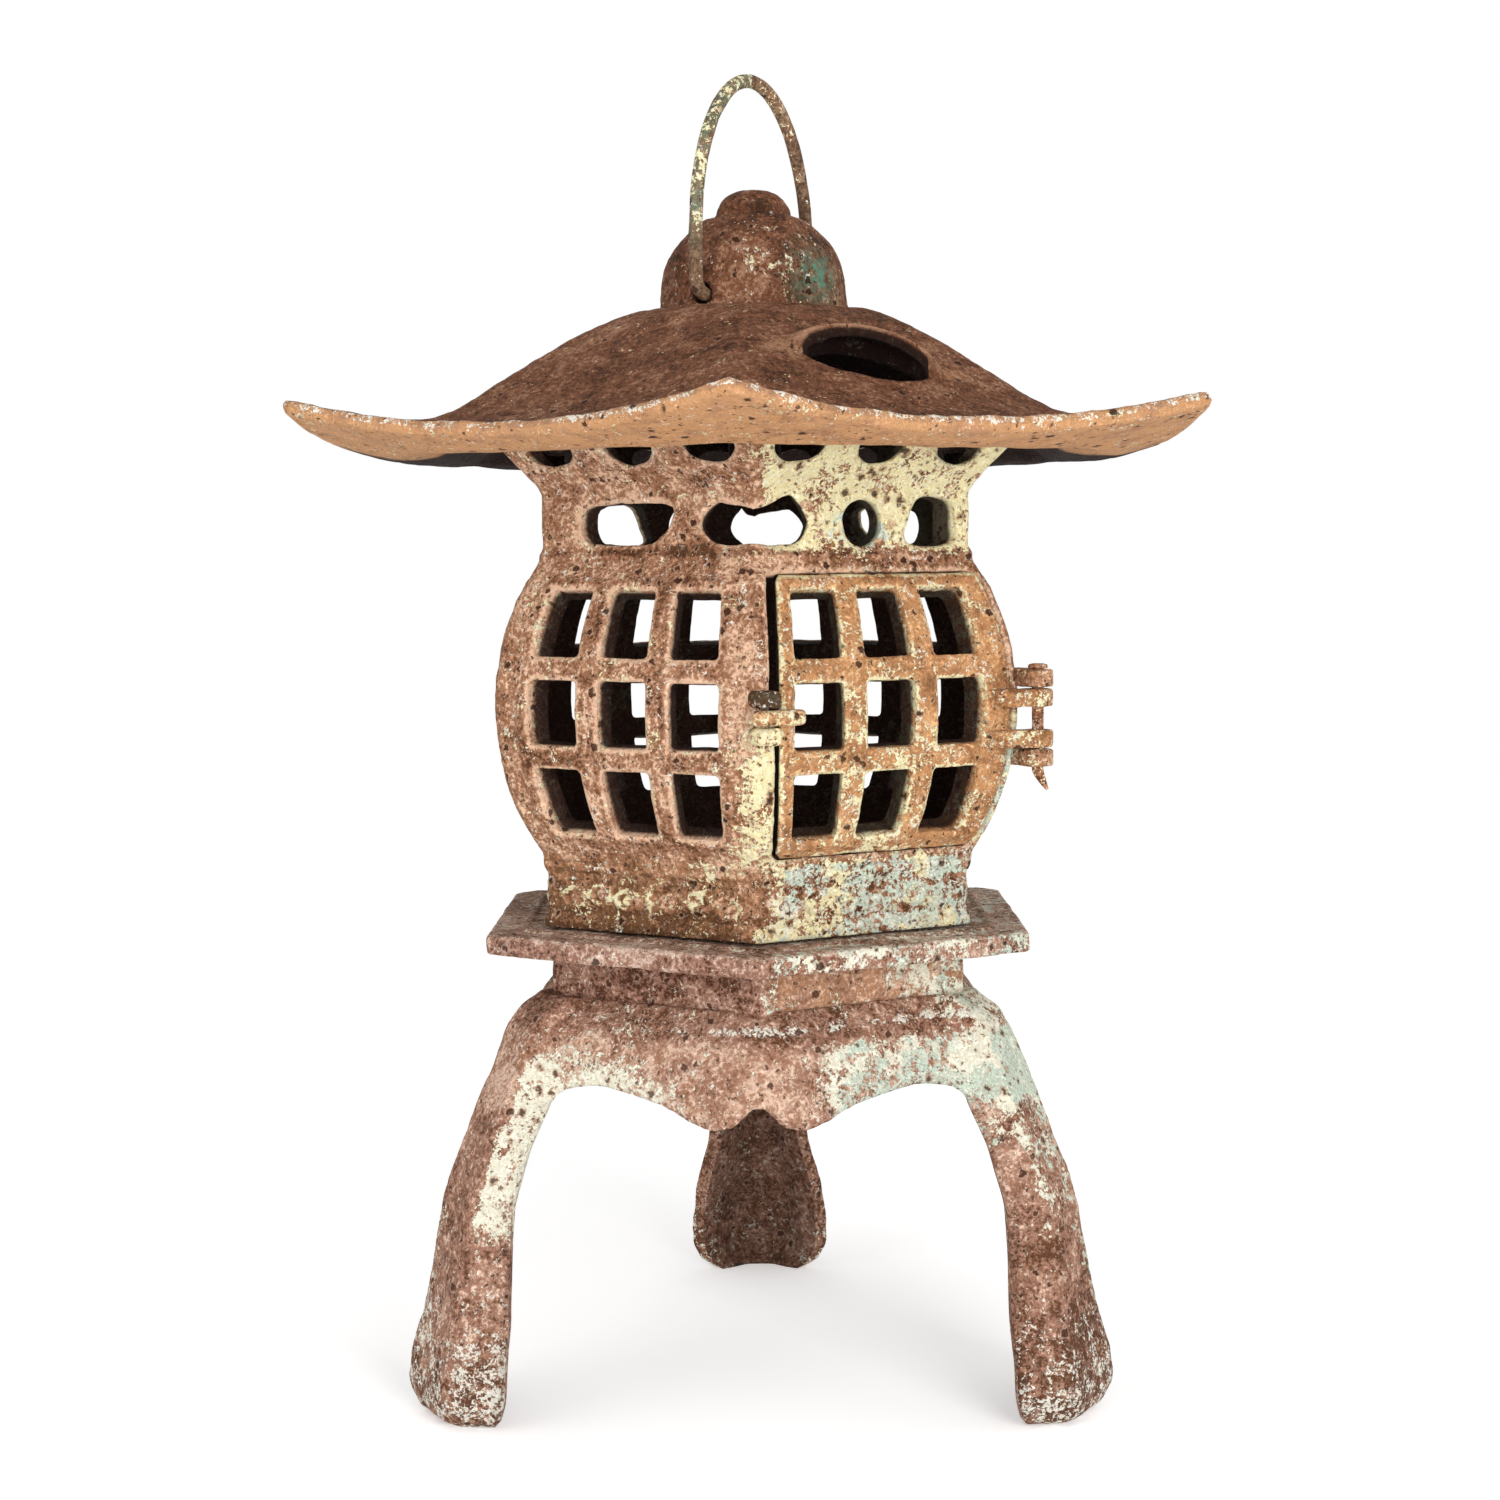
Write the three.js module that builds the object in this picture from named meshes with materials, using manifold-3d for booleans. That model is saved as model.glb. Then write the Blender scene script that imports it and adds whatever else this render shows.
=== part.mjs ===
// Cast-iron hexagonal pagoda lantern on three legs, with a hinged lattice door and a wire bail.
// Millimetres, +Z up. The origin lies on the ground on the lantern's centre line.
// A vertex of the hexagon faces the front, along -Y. Bearings are counted from that front
// vertex, turning towards +X, so the hexagon's vertices lie at 0, 60, 120 ... 300 degrees.

import * as THREE from 'three'
import { mergeVertices } from 'three/addons/utils/BufferGeometryUtils.js'
import Module from 'manifold-3d'

const wasm = await Module()
wasm.setup()

// Clearances
const SEAT_GAP = 0.3 // between two castings that rest on each other
const SHANK_GAP = 0.35 // round a screw or pin in its hole
const DOOR_GAP = 0.6 // above, below and behind the hinge side of the door
const DOOR_SLIT = 1.5 // between the front post and the free edge of the door
const KNUCKLE_GAP = 0.5 // between the hinge lugs of the firebox and those of the door

// Stand
const LEG_HEIGHT = 120.5 // ground to the top of the shoulder
const STAND_WALL = 5.5
const PEDESTAL_RADIUS = 69.5
const PEDESTAL_HEIGHT = 12.6
const PEDESTAL_DECK = 5
const DECK_HOLE_RADIUS = 30
const LEG_FACET_WIDTH = 20.8 // flat outer face of a leg at half height
const CUSP_DROP = 23 // shoulder top down to the notch in the middle of an apron
const LOBE_DROP = 30.7 // shoulder top down to the lobes beside the notch
const LOBE_OFFSET = 13.5
const CROWN_DROP = 22.3 // shoulder top down to the crown of the arch beside a leg
const CROWN_OFFSET = 46

// Platform plate
const PLATE_RADIUS = 90.7
const PLATE_THICKNESS = 6.8
const PLATE_CHAMFER = 0.8

// Firebox
const WALL = 6
const FOOT_RADIUS = 70.4
const FOOT_BAND_HEIGHT = 19.5
const BELLY_RISE = 16.2 // how far the lattice belly stands out past the foot band
const BELLY_HEIGHT = 88.5
const NECK_RADIUS = 71
const NECK_HEIGHT = 17
const MOULDING = 1.3 // small raised beads at the foot and at the neck
const CORNICE_HEIGHT = 20.5
const CORNICE_RADIUS = 89

// Lattice
const POST_SHARE = 0.137 // share of a face taken by each corner post
const BAR_SHARE = 0.086 // share of a face taken by each upright bar
const RAIL_WIDTH = 6.4 // level bars
const LATTICE_BOTTOM = 9.3 // belly bottom up to the lowest windows
const LATTICE_TOP = 10.2 // highest windows up to the belly top

// Neck and cornice openings
const NECK_SILL = 2.6 // neck bottom up to its openings
const PORT_RADIUS = 6.5
const PORT_OFFSET = 35
const REAR_PORT_OFFSET = 29
const CLOUD_REACH = 17.5
const REAR_CLOUD_REACHES = [10, 20] // to the two sides of the rear corner
const BOAT_SPAN = [27, 57.5]
const REAR_BOAT_SPAN = [40, 66]
const ARCH_SPAN = [50, 66.4]
const REAR_ARCH_SPAN = [43.3, 66]
const SIDE_OPENING_MARGIN = 7 // corner to the wide opening of a side face
const CLOUD_HEIGHT = 11.4
const OVAL_HALF_WIDTH = 8
const OVAL_HALF_HEIGHT = 4.7
const OVAL_RISE = 12.2 // cornice bottom up to the middle of the ovals

// Door, hinge and catch
const DOOR_BOTTOM = 3.8 // belly bottom up to the door
const DOOR_TOP = 5.8 // door up to the belly top
const FRONT_POST = 5.6 // width of the post left of the door, along the face
const HINGE_POST = 2.3 // width of the post right of the door, along the face
const HINGE_REACH = 6.2 // corner of the belly out to the hinge axis
const HINGE_HEIGHT = 41.2 // belly bottom up to the middle of the hinge
const KNUCKLE_SPREAD = 11.7 // between the middles of the two door lugs
const KNUCKLE_RADIUS = 4.4
const KNUCKLE_THICKNESS = 5
const PIN_RADIUS = 1.7
const PIN_HEAD_RADIUS = 2.9
const PIN_HEAD_THICKNESS = 1.4
const TONGUE_HEIGHT = 4.2
const TONGUE_DEPTH = 4.6
const TONGUE_LENGTH = 13.5
const CATCH_DEPTH = 4.8
const CATCH_HEIGHT = 4.8

// Roof
const TIP_RADIUS = 147
const EAVE_BOW = 6.7 // how far the eaves draw in from straight between two tips
const EAVE_LIP = 3.8
const TIP_RISE = 8.4 // upward curl of the tips above the eaves
const ROOF_TURN = -2.4 // degrees that the panels sit turned against the firebox
const CURL_START = 100 // radius where the curl begins
const ROOF_TOP_HEIGHT = 34.7 // roof seat up to the foot of the dome
const DOME_RADIUS = 28
const DOME_HEIGHT = 27.5
const DOME_WALL = 5.5
const KNOB_RADIUS = 10.8
const KNOB_HEIGHT = 8
const SEAT_RIM_WIDTH = 6
const BOSS_RADIUS = 6

// Roof vents
const VENT_RADIUS = 67 // centre line out to the middle of a vent
const VENT_HALF_LENGTH = 18.2
const VENT_HALF_WIDTH = 6.8
const VENT_SLANT = 14 // degrees that the vent's long axis falls away down the panel
const HOOD_HEIGHT = 6.6 // top of the hood above the panel
const HOOD_WALL = 3.2

// Bail
const BAIL_WIRE_RADIUS = 2
const BAIL_BEARING = -32
const BAIL_AXIS_RISE = 2.8 // foot of the dome up to the holes
const BAIL_HALF_WIDTH = 31.4
const BAIL_RISE = 64.8 // holes up to the wire's centre at the top
const BAIL_SHOULDER = 17 // holes up to where the sides start to curve in
const BAIL_BEND = 5
const BAIL_END = 19.5 // centre line out to the wire's ends
const BAIL_HOLE_GAP = 0.7

// Candle cup
const CUP_RADIUS = 24
const CUP_HEIGHT = 13
const CUP_WALL = 2.6
const CUP_FLOOR = 4
const CUP_FLARE = 3

// Fasteners
const BASE_BOLT_CIRCLE = 47
const BASE_SCREW_RADIUS = 3
const BASE_HEAD_RADIUS = 5.6
const BASE_HEAD_THICKNESS = 3.4
const BASE_NUT_RADIUS = 5.8
const BASE_NUT_THICKNESS = 4.8
const ROOF_BOLT_CIRCLE = 66
const ROOF_SCREW_RADIUS = 2.4
const ROOF_HEAD_RADIUS = 4.4
const ROOF_HEAD_THICKNESS = 2.8
const ROOF_SCREW_BITE = 9
const CUP_SCREW_RADIUS = 2.4
const CUP_HEAD_RADIUS = 4.6
const CUP_HEAD_THICKNESS = 2.4
const CUP_HEAD_GAP = 0.6
const CUP_NUT_RADIUS = 4.6
const CUP_NUT_THICKNESS = 3.8
const SCREW_TAIL = 1.6 // thread that shows past a nut
const LUG_THICKNESS = 6
const LUG_HALF_WIDTH = 8

// Heights above the ground that follow
const STAND_TOP = LEG_HEIGHT + PEDESTAL_HEIGHT
const PLATE_BOTTOM = STAND_TOP + SEAT_GAP
const PLATE_TOP = PLATE_BOTTOM + PLATE_THICKNESS
const FIREBOX_BOTTOM = PLATE_TOP + SEAT_GAP
const BELLY_BOTTOM = FIREBOX_BOTTOM + FOOT_BAND_HEIGHT
const BELLY_TOP = BELLY_BOTTOM + BELLY_HEIGHT
const NECK_TOP = BELLY_TOP + NECK_HEIGHT
const FIREBOX_TOP = NECK_TOP + CORNICE_HEIGHT
const ROOF_SEAT = FIREBOX_TOP + SEAT_GAP
const DOME_FOOT = ROOF_SEAT + ROOF_TOP_HEIGHT
const BAIL_AXIS = DOME_FOOT + BAIL_AXIS_RISE

const COS30 = Math.cos(Math.PI / 6)
const TAN30 = Math.tan(Math.PI / 6)
const FAR = 400 // past every surface, for cutters
const SIX = [0, 60, 120, 180, 240, 300]
const LEG_BEARINGS = [60, 180, 300]
const BASE_BOLT_BEARINGS = [90, 210, 330]
const VENT_BEARINGS = [30, 150]

const radians = THREE.MathUtils.degToRad

// Point at a distance from the centre line on a bearing, moved sideways towards larger bearings
function polar (radius, bearing, sideways = 0) {
  const a = radians(bearing)
  return [
    radius * Math.sin(a) + sideways * Math.cos(a),
    -radius * Math.cos(a) + sideways * Math.sin(a)
  ]
}

// Bearing of the point that lies at a share of the way along a face from its first vertex
function bearingOnFace (share, firstVertex = 0) {
  const x = COS30 * share
  const y = 1 - 0.5 * share
  return firstVertex + THREE.MathUtils.radToDeg(Math.atan2(x, y))
}

// Value at x on a line through [x, y] points in rising x
function along (points, x) {
  const last = points.length - 1
  if (x <= points[0][0]) return points[0][1]
  if (x >= points[last][0]) return points[last][1]
  const i = points.findIndex(p => p[0] >= x)
  const [x0, y0] = points[i - 1]
  const [x1, y1] = points[i]
  return y0 + (y1 - y0) * (x - x0) / (x1 - x0)
}

// Solids

function toManifold (geometry) {
  const bare = geometry.clone()
  bare.deleteAttribute('normal')
  bare.deleteAttribute('uv')
  const merged = mergeVertices(bare, 1e-5)
  return new wasm.Manifold(new wasm.Mesh({
    numProp: 3,
    vertProperties: new Float32Array(merged.attributes.position.array),
    triVerts: new Uint32Array(merged.index.array)
  }))
}

function toGeometry (manifold) {
  const mesh = manifold.getMesh()
  const geometry = new THREE.BufferGeometry()
  geometry.setAttribute('position', new THREE.BufferAttribute(mesh.vertProperties, 3))
  geometry.setIndex(new THREE.BufferAttribute(mesh.triVerts, 1))
  return geometry
}

function fromArrays (positions, index) {
  const geometry = new THREE.BufferGeometry()
  geometry.setAttribute('position', new THREE.Float32BufferAttribute(positions, 3))
  geometry.setIndex(index)
  return toManifold(geometry)
}

// Closed solid through level outlines, bottom to top, all with the same number of points.
// A third number in a point lowers it below its level.
function stack (unordered) {
  const clockwise = outline => THREE.ShapeUtils.area(outline.map(([x, y]) => new THREE.Vector2(x, y))) < 0
  const levels = unordered.map(({ z, outline }) => ({
    z,
    outline: clockwise(outline) ? [...outline].reverse() : outline
  }))
  const count = levels[0].outline.length
  const positions = []
  const index = []
  for (const { z, outline } of levels) {
    for (const [x, y, drop = 0] of outline) positions.push(x, y, z - drop)
  }
  for (let k = 0; k < levels.length - 1; k++) {
    for (let i = 0; i < count; i++) {
      const a = k * count + i
      const b = k * count + (i + 1) % count
      index.push(a, b, b + count, a, b + count, a + count)
    }
  }
  const cap = (k, upward) => {
    const contour = levels[k].outline.map(([x, y]) => new THREE.Vector2(x, y))
    for (const [i, j, l] of THREE.ShapeUtils.triangulateShape(contour, [])) {
      const turn = THREE.ShapeUtils.area([contour[i], contour[j], contour[l]]) > 0
      const corners = turn === upward ? [i, j, l] : [i, l, j]
      index.push(...corners.map(c => k * count + c))
    }
  }
  cap(0, false)
  cap(levels.length - 1, true)
  return fromArrays(positions, index)
}

function hexagon (radius) {
  return SIX.map(bearing => polar(radius, bearing))
}

function prism (outline, bottom, top) {
  return stack([{ z: bottom, outline }, { z: top, outline }])
}

function hexStack (points) {
  return stack(points.map(([z, radius]) => ({ z, outline: hexagon(radius) })))
}

// Wedge between two bearings, open towards the outside
function wedge (from, to, bottom, top, inner = 30) {
  return prism([polar(inner, from), polar(FAR, from), polar(FAR, to), polar(inner, to)], bottom, top)
}

function cylinder (radius, bottom, top, [x, y] = [0, 0], sides = 14) {
  const geometry = new THREE.CylinderGeometry(radius, radius, top - bottom, sides)
  geometry.rotateX(Math.PI / 2)
  geometry.translate(x, y, (top + bottom) / 2)
  return toManifold(geometry)
}

function lathe (points, sides = 24) {
  const geometry = new THREE.LatheGeometry(points.map(([r, z]) => new THREE.Vector2(r, z)), sides)
  geometry.rotateX(Math.PI / 2)
  return toManifold(geometry)
}

// Outline on a face of the hexagon, drawn in distance from the face's first vertex and height,
// pushed straight through the wall
function throughFace (outline, firstVertex, vertexRadius) {
  const shape = new THREE.Shape(outline.map(([s, z]) => new THREE.Vector2(s - vertexRadius / 2, z)))
  const geometry = new THREE.ExtrudeGeometry(shape, { depth: FAR / 2, bevelEnabled: false })
  geometry.rotateX(Math.PI / 2)
  geometry.translate(0, -vertexRadius * COS30 + 3 * WALL, 0)
  geometry.rotateZ(radians(firstVertex + 30))
  return toManifold(geometry)
}

function ellipse (centreS, centreZ, halfWidth, halfHeight, points = 14) {
  return Array.from({ length: points }, (_, i) => {
    const a = 2 * Math.PI * i / points
    return [centreS + halfWidth * Math.cos(a), centreZ + halfHeight * Math.sin(a)]
  })
}

function smooth (points, count) {
  return new THREE.SplineCurve(points.map(([x, y]) => new THREE.Vector2(x, y)))
    .getPoints(count).map(p => [p.x, p.y])
}

// Stand: a hexagonal apron and three legs with a flat outer face and two flanks, in one casting

// [share of the leg height, apron radius, leg face radius, leg face width share, flank spread],
// the radii counted outwards from the pedestal
const LEG_SECTIONS = [
  [0, 38.5, 36.5, 0.87, 5],
  [0.017, 41, 40, 1.1, 6],
  [0.066, 42.5, 42.5, 1.33, 6.8],
  [0.149, 42, 41.3, 1.3, 7],
  [0.249, 38.8, 38, 1.18, 6.6],
  [0.39, 33.5, 34.8, 1, 3.8],
  [0.515, 31.4, 31.5, 0.94, 3.4],
  [0.647, 25.3, 26, 0.92, 3],
  [0.747, 17.8, 20.5, 0.92, 2.4],
  [0.805, 14.8, 17.3, 0.9, 2],
  [0.871, 11.8, 13.7, 0.88, 1.8],
  [0.913, 9.8, 11.5, 0.86, 1.5],
  [0.938, 7.8, 9.8, 0.84, 1.2],
  [0.963, 5.3, 7, 0.82, 1],
  [0.983, 2.5, 4, 0.8, 0.8],
  [1, 0.5, -0.5, 0.76, 0.5]
]

function standLevel ([share, apronOut, facetOut, widthShare, flank], wall) {
  const apron = PEDESTAL_RADIUS + apronOut - wall / COS30
  const facet = PEDESTAL_RADIUS + facetOut - wall
  const half = LEG_FACET_WIDTH / 2 * widthShare - 0.85 * wall
  const rootSide = half + flank
  const root = apron - rootSide * TAN30
  const outline = LEG_BEARINGS.flatMap(leg => [
    polar(apron, leg - 60),
    polar(root, leg, -rootSide),
    polar(facet, leg, -half),
    polar(facet, leg, half),
    polar(root, leg, rootSide)
  ])
  const legEdge = polar(root, 60, -rootSide)[0]
  return { z: share * LEG_HEIGHT, outline, legEdge }
}

function archCutter (bearing) {
  const outer = LEG_SECTIONS.map(section => standLevel(section, 0))
  const legSide = outer.filter(level => level.z < LEG_HEIGHT - LOBE_DROP - 6)
    .map(level => [level.legEdge + 0.6, level.z])
  const crown = LEG_HEIGHT - CROWN_DROP
  const half = [
    ...legSide,
    ...smooth([
      legSide[legSide.length - 1],
      [CROWN_OFFSET + 17, crown - 9],
      [CROWN_OFFSET + 9, crown - 1.6],
      [CROWN_OFFSET, crown],
      [LOBE_OFFSET + 13, LEG_HEIGHT - LOBE_DROP + 4.6],
      [LOBE_OFFSET, LEG_HEIGHT - LOBE_DROP],
      [LOBE_OFFSET / 2, LEG_HEIGHT - LOBE_DROP + 2.4],
      [0, LEG_HEIGHT - CUSP_DROP]
    ], 28).slice(1)
  ]
  const below = [half[0][0], -10]
  const right = [below, ...half]
  const left = right.slice(0, -1).reverse().map(([x, z]) => [-x, z])
  const shape = new THREE.Shape([...right, ...left].map(([x, z]) => new THREE.Vector2(x, z)))
  const geometry = new THREE.ExtrudeGeometry(shape, { depth: FAR, bevelEnabled: false })
  geometry.rotateX(Math.PI / 2)
  geometry.translate(0, -PEDESTAL_RADIUS * 0.45, 0)
  geometry.rotateZ(radians(bearing))
  return toManifold(geometry)
}

function makeStand () {
  const outer = stack(LEG_SECTIONS.map(section => standLevel(section, 0)))
  const innerLevels = LEG_SECTIONS.map(section => standLevel(section, STAND_WALL))
    .filter(level => level.z < LEG_HEIGHT - STAND_WALL)
  const innerTop = innerLevels[innerLevels.length - 1]
  const inner = stack([
    { z: -5, outline: innerLevels[0].outline },
    ...innerLevels,
    { z: LEG_HEIGHT - STAND_WALL, outline: innerTop.outline.map(([x, y]) => [x * 0.97, y * 0.97]) }
  ])
  const pedestal = prism(hexagon(PEDESTAL_RADIUS), LEG_HEIGHT - STAND_WALL / 2, STAND_TOP)
  const pedestalHollow = prism(
    hexagon(PEDESTAL_RADIUS - STAND_WALL / COS30),
    LEG_HEIGHT - 2 * STAND_WALL,
    STAND_TOP - PEDESTAL_DECK
  )
  let stand = outer.subtract(inner)
  for (const leg of LEG_BEARINGS) stand = stand.subtract(archCutter(leg + 60))
  stand = stand.add(pedestal).subtract(pedestalHollow)
    .subtract(cylinder(DECK_HOLE_RADIUS, LEG_HEIGHT, STAND_TOP + 5, [0, 0], 30))
  for (const bearing of BASE_BOLT_BEARINGS) {
    const hole = cylinder(BASE_SCREW_RADIUS + SHANK_GAP, LEG_HEIGHT, STAND_TOP + 5,
      polar(BASE_BOLT_CIRCLE, bearing))
    stand = stand.subtract(hole)
  }
  return stand
}

function makePlate () {
  let plate = hexStack([
    [PLATE_BOTTOM, PLATE_RADIUS - PLATE_CHAMFER],
    [PLATE_BOTTOM + PLATE_CHAMFER, PLATE_RADIUS],
    [PLATE_TOP - PLATE_CHAMFER, PLATE_RADIUS],
    [PLATE_TOP, PLATE_RADIUS - PLATE_CHAMFER]
  ])
  for (const bearing of BASE_BOLT_BEARINGS) {
    plate = plate.subtract(cylinder(BASE_SCREW_RADIUS + SHANK_GAP, PLATE_BOTTOM - 5, PLATE_TOP + 5,
      polar(BASE_BOLT_CIRCLE, bearing)))
  }
  return plate.subtract(cylinder(CUP_SCREW_RADIUS + SHANK_GAP, PLATE_BOTTOM - 5, PLATE_TOP + 5))
}

// Firebox: foot band, bulging lattice belly, pierced neck and flared cornice in one casting

// Vertex radius of the belly, an arc of a circle standing on the foot band
function bellyRadius (z) {
  const half = BELLY_HEIGHT / 2
  const arc = (half * half + BELLY_RISE * BELLY_RISE) / (2 * BELLY_RISE)
  const offset = z - (BELLY_BOTTOM + half)
  return FOOT_RADIUS + BELLY_RISE - arc + Math.sqrt(arc * arc - offset * offset)
}

const BELLY_STEPS = 9
const FIREBOX_PROFILE = [
  [FIREBOX_BOTTOM, FOOT_RADIUS + MOULDING],
  [FIREBOX_BOTTOM + 2 * MOULDING, FOOT_RADIUS + MOULDING],
  [FIREBOX_BOTTOM + 3 * MOULDING, FOOT_RADIUS],
  [BELLY_BOTTOM - 3 * MOULDING, FOOT_RADIUS],
  [BELLY_BOTTOM - 2 * MOULDING, FOOT_RADIUS + MOULDING],
  ...Array.from({ length: BELLY_STEPS - 1 }, (_, i) => {
    const z = BELLY_BOTTOM + BELLY_HEIGHT * (i + 1) / BELLY_STEPS
    return [z, Math.max(bellyRadius(z), FOOT_RADIUS + MOULDING)]
  }),
  [BELLY_TOP - 2 * MOULDING, NECK_RADIUS + MOULDING],
  [BELLY_TOP, NECK_RADIUS + MOULDING],
  [BELLY_TOP + MOULDING, NECK_RADIUS],
  [NECK_TOP, NECK_RADIUS],
  [NECK_TOP + 0.14 * CORNICE_HEIGHT, NECK_RADIUS + 0.1 * (CORNICE_RADIUS - NECK_RADIUS)],
  [NECK_TOP + 0.27 * CORNICE_HEIGHT, NECK_RADIUS + 0.26 * (CORNICE_RADIUS - NECK_RADIUS)],
  [NECK_TOP + 0.63 * CORNICE_HEIGHT, NECK_RADIUS + 0.7 * (CORNICE_RADIUS - NECK_RADIUS)],
  [FIREBOX_TOP, CORNICE_RADIUS]
]
const WALL_ACROSS_CORNER = WALL / COS30

function fireboxShell () {
  const inner = FIREBOX_PROFILE.map(([z, radius]) => [z, radius - WALL_ACROSS_CORNER])
  const bottom = [FIREBOX_BOTTOM - 5, inner[0][1]]
  const top = [FIREBOX_TOP + 5, inner[inner.length - 1][1]]
  return hexStack(FIREBOX_PROFILE).subtract(hexStack([bottom, ...inner, top]))
}

// Three rows and three columns of windows, whose sides follow the bearings
const WINDOW_WIDTH_SHARE = (1 - 2 * POST_SHARE - 2 * BAR_SHARE) / 3
const WINDOW_HEIGHT = (BELLY_HEIGHT - LATTICE_BOTTOM - LATTICE_TOP - 2 * RAIL_WIDTH) / 3

function windowCutters (firstVertex) {
  const cutters = []
  for (let column = 0; column < 3; column++) {
    const start = POST_SHARE + column * (WINDOW_WIDTH_SHARE + BAR_SHARE)
    for (let row = 0; row < 3; row++) {
      const sill = BELLY_BOTTOM + LATTICE_BOTTOM + row * (WINDOW_HEIGHT + RAIL_WIDTH)
      cutters.push(wedge(
        bearingOnFace(start, firstVertex),
        bearingOnFace(start + WINDOW_WIDTH_SHARE, firstVertex),
        sill,
        sill + WINDOW_HEIGHT
      ))
    }
  }
  return cutters
}

// Clouds round the front and rear corners, then a port and an arch on one side and a boat on the other
function neckCutters () {
  const side = NECK_RADIUS
  const sill = BELLY_TOP + NECK_SILL
  const head = sill + CLOUD_HEIGHT
  const middle = (sill + head) / 2
  const cloudHalf = (reach, lift) => smooth([
    [-6, sill],
    [reach - 5, sill],
    [reach, middle],
    [reach - 5, head + lift],
    [reach / 2 - 2, head + lift],
    [1.5, head - 2.6],
    [-6, head - 2.6]
  ], 16)
  const boat = ([start, end]) => [
    [start, middle + 1], [start + 2, head], [end - 3.5, head - 0.5], [end, middle], [end - 1.5, sill + 1],
    [end - 5.5, sill], [start + 9, sill], [start + 4, sill + 2.2]
  ]
  const arched = ([start, end]) => smooth([
    [start + 0.5, sill], [start, middle], [start + 3.5, head + 0.8], [(start + end) / 2, head + 1.8],
    [end - 1.4, head + 0.4], [end, middle], [end - 0.9, sill]
  ], 14)
  const port = offset => ellipse(offset, middle, PORT_RADIUS, PORT_RADIUS)
  const flip = outline => outline.map(([s, z]) => [side - s, z]).reverse()
  const right = [cloudHalf(CLOUD_REACH, 1.6), port(PORT_OFFSET), arched(ARCH_SPAN)]
  const left = [cloudHalf(CLOUD_REACH, 0), boat(BOAT_SPAN)]
  const rearLeft = [cloudHalf(REAR_CLOUD_REACHES[0], 1.6), port(REAR_PORT_OFFSET), arched(REAR_ARCH_SPAN)]
  const rearRight = [cloudHalf(REAR_CLOUD_REACHES[1], 0), boat(REAR_BOAT_SPAN)]
  const margin = SIDE_OPENING_MARGIN
  const wide = smooth([
    [margin, middle], [margin + 4, sill], [side - margin - 4, sill], [side - margin, middle],
    [side - margin - 4, head], [side / 2, head - 2], [margin + 4, head], [margin, middle]
  ], 20).slice(0, -1)
  return [
    ...right.map(outline => throughFace(outline, 0, side)),
    ...left.map(outline => throughFace(flip(outline), -60, side)),
    ...rearLeft.map(outline => throughFace(outline, 180, side)),
    ...rearRight.map(outline => throughFace(flip(outline), 120, side)),
    throughFace(wide, 60, side),
    throughFace(wide, 240, side)
  ]
}

function corniceCutters () {
  const side = NECK_RADIUS + 0.5 * (CORNICE_RADIUS - NECK_RADIUS)
  const cutters = []
  for (const vertex of SIX) {
    for (const share of [1 / 6, 1 / 2, 5 / 6]) {
      const oval = ellipse(share * side, NECK_TOP + OVAL_RISE, OVAL_HALF_WIDTH, OVAL_HALF_HEIGHT, 10)
      cutters.push(throughFace(oval, vertex, side))
    }
  }
  return cutters
}

// Door sides, as bearings that keep the door's width along the face at the belly's widest
const BELLY_MIDDLE = BELLY_BOTTOM + BELLY_HEIGHT / 2
const BELLY_RADIUS = FOOT_RADIUS + BELLY_RISE
const POST_EDGE = bearingOnFace(FRONT_POST / BELLY_RADIUS)
const DOOR_FREE_EDGE = bearingOnFace((FRONT_POST + DOOR_SLIT) / BELLY_RADIUS)
const DOOR_HINGE_EDGE = bearingOnFace(1 - (HINGE_POST + DOOR_GAP) / BELLY_RADIUS)
const HINGE_POST_EDGE = bearingOnFace(1 - HINGE_POST / BELLY_RADIUS)
const DOOR_Z0 = BELLY_BOTTOM + DOOR_BOTTOM
const DOOR_Z1 = BELLY_TOP - DOOR_TOP

// Hinge: firebox lugs above and below the pair of door lugs, on an axis outside the corner
const HINGE_AXIS = polar(BELLY_RADIUS + HINGE_REACH, 60)
const HINGE_MIDDLE = BELLY_BOTTOM + HINGE_HEIGHT
const DOOR_LUGS = [-1, 1].map(sign => HINGE_MIDDLE + sign * KNUCKLE_SPREAD / 2)
const FIREBOX_LUGS = [-1, 1].map(sign =>
  HINGE_MIDDLE + sign * (KNUCKLE_SPREAD / 2 + KNUCKLE_THICKNESS + KNUCKLE_GAP))

// Point near the hinge, in millimetres out of the door's face and along it away from the hinge
function nearHinge (out, away) {
  const [x, y] = HINGE_AXIS
  const face = radians(30)
  return [
    x + out * Math.sin(face) - away * Math.cos(face),
    y - out * Math.cos(face) - away * Math.sin(face)
  ]
}

function knuckle (armOutline, middle) {
  const bottom = middle - KNUCKLE_THICKNESS / 2
  const top = middle + KNUCKLE_THICKNESS / 2
  return cylinder(KNUCKLE_RADIUS, bottom, top, HINGE_AXIS).add(prism(armOutline, bottom, top))
}

const PIN_HOLE = cylinder(PIN_RADIUS + SHANK_GAP, BELLY_BOTTOM, BELLY_TOP, HINGE_AXIS)

// The door's face lies this far inside the hinge axis, and its corner this far along it
const FACE_DEPTH = HINGE_REACH * COS30
const CORNER_AWAY = HINGE_REACH / 2

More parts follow.
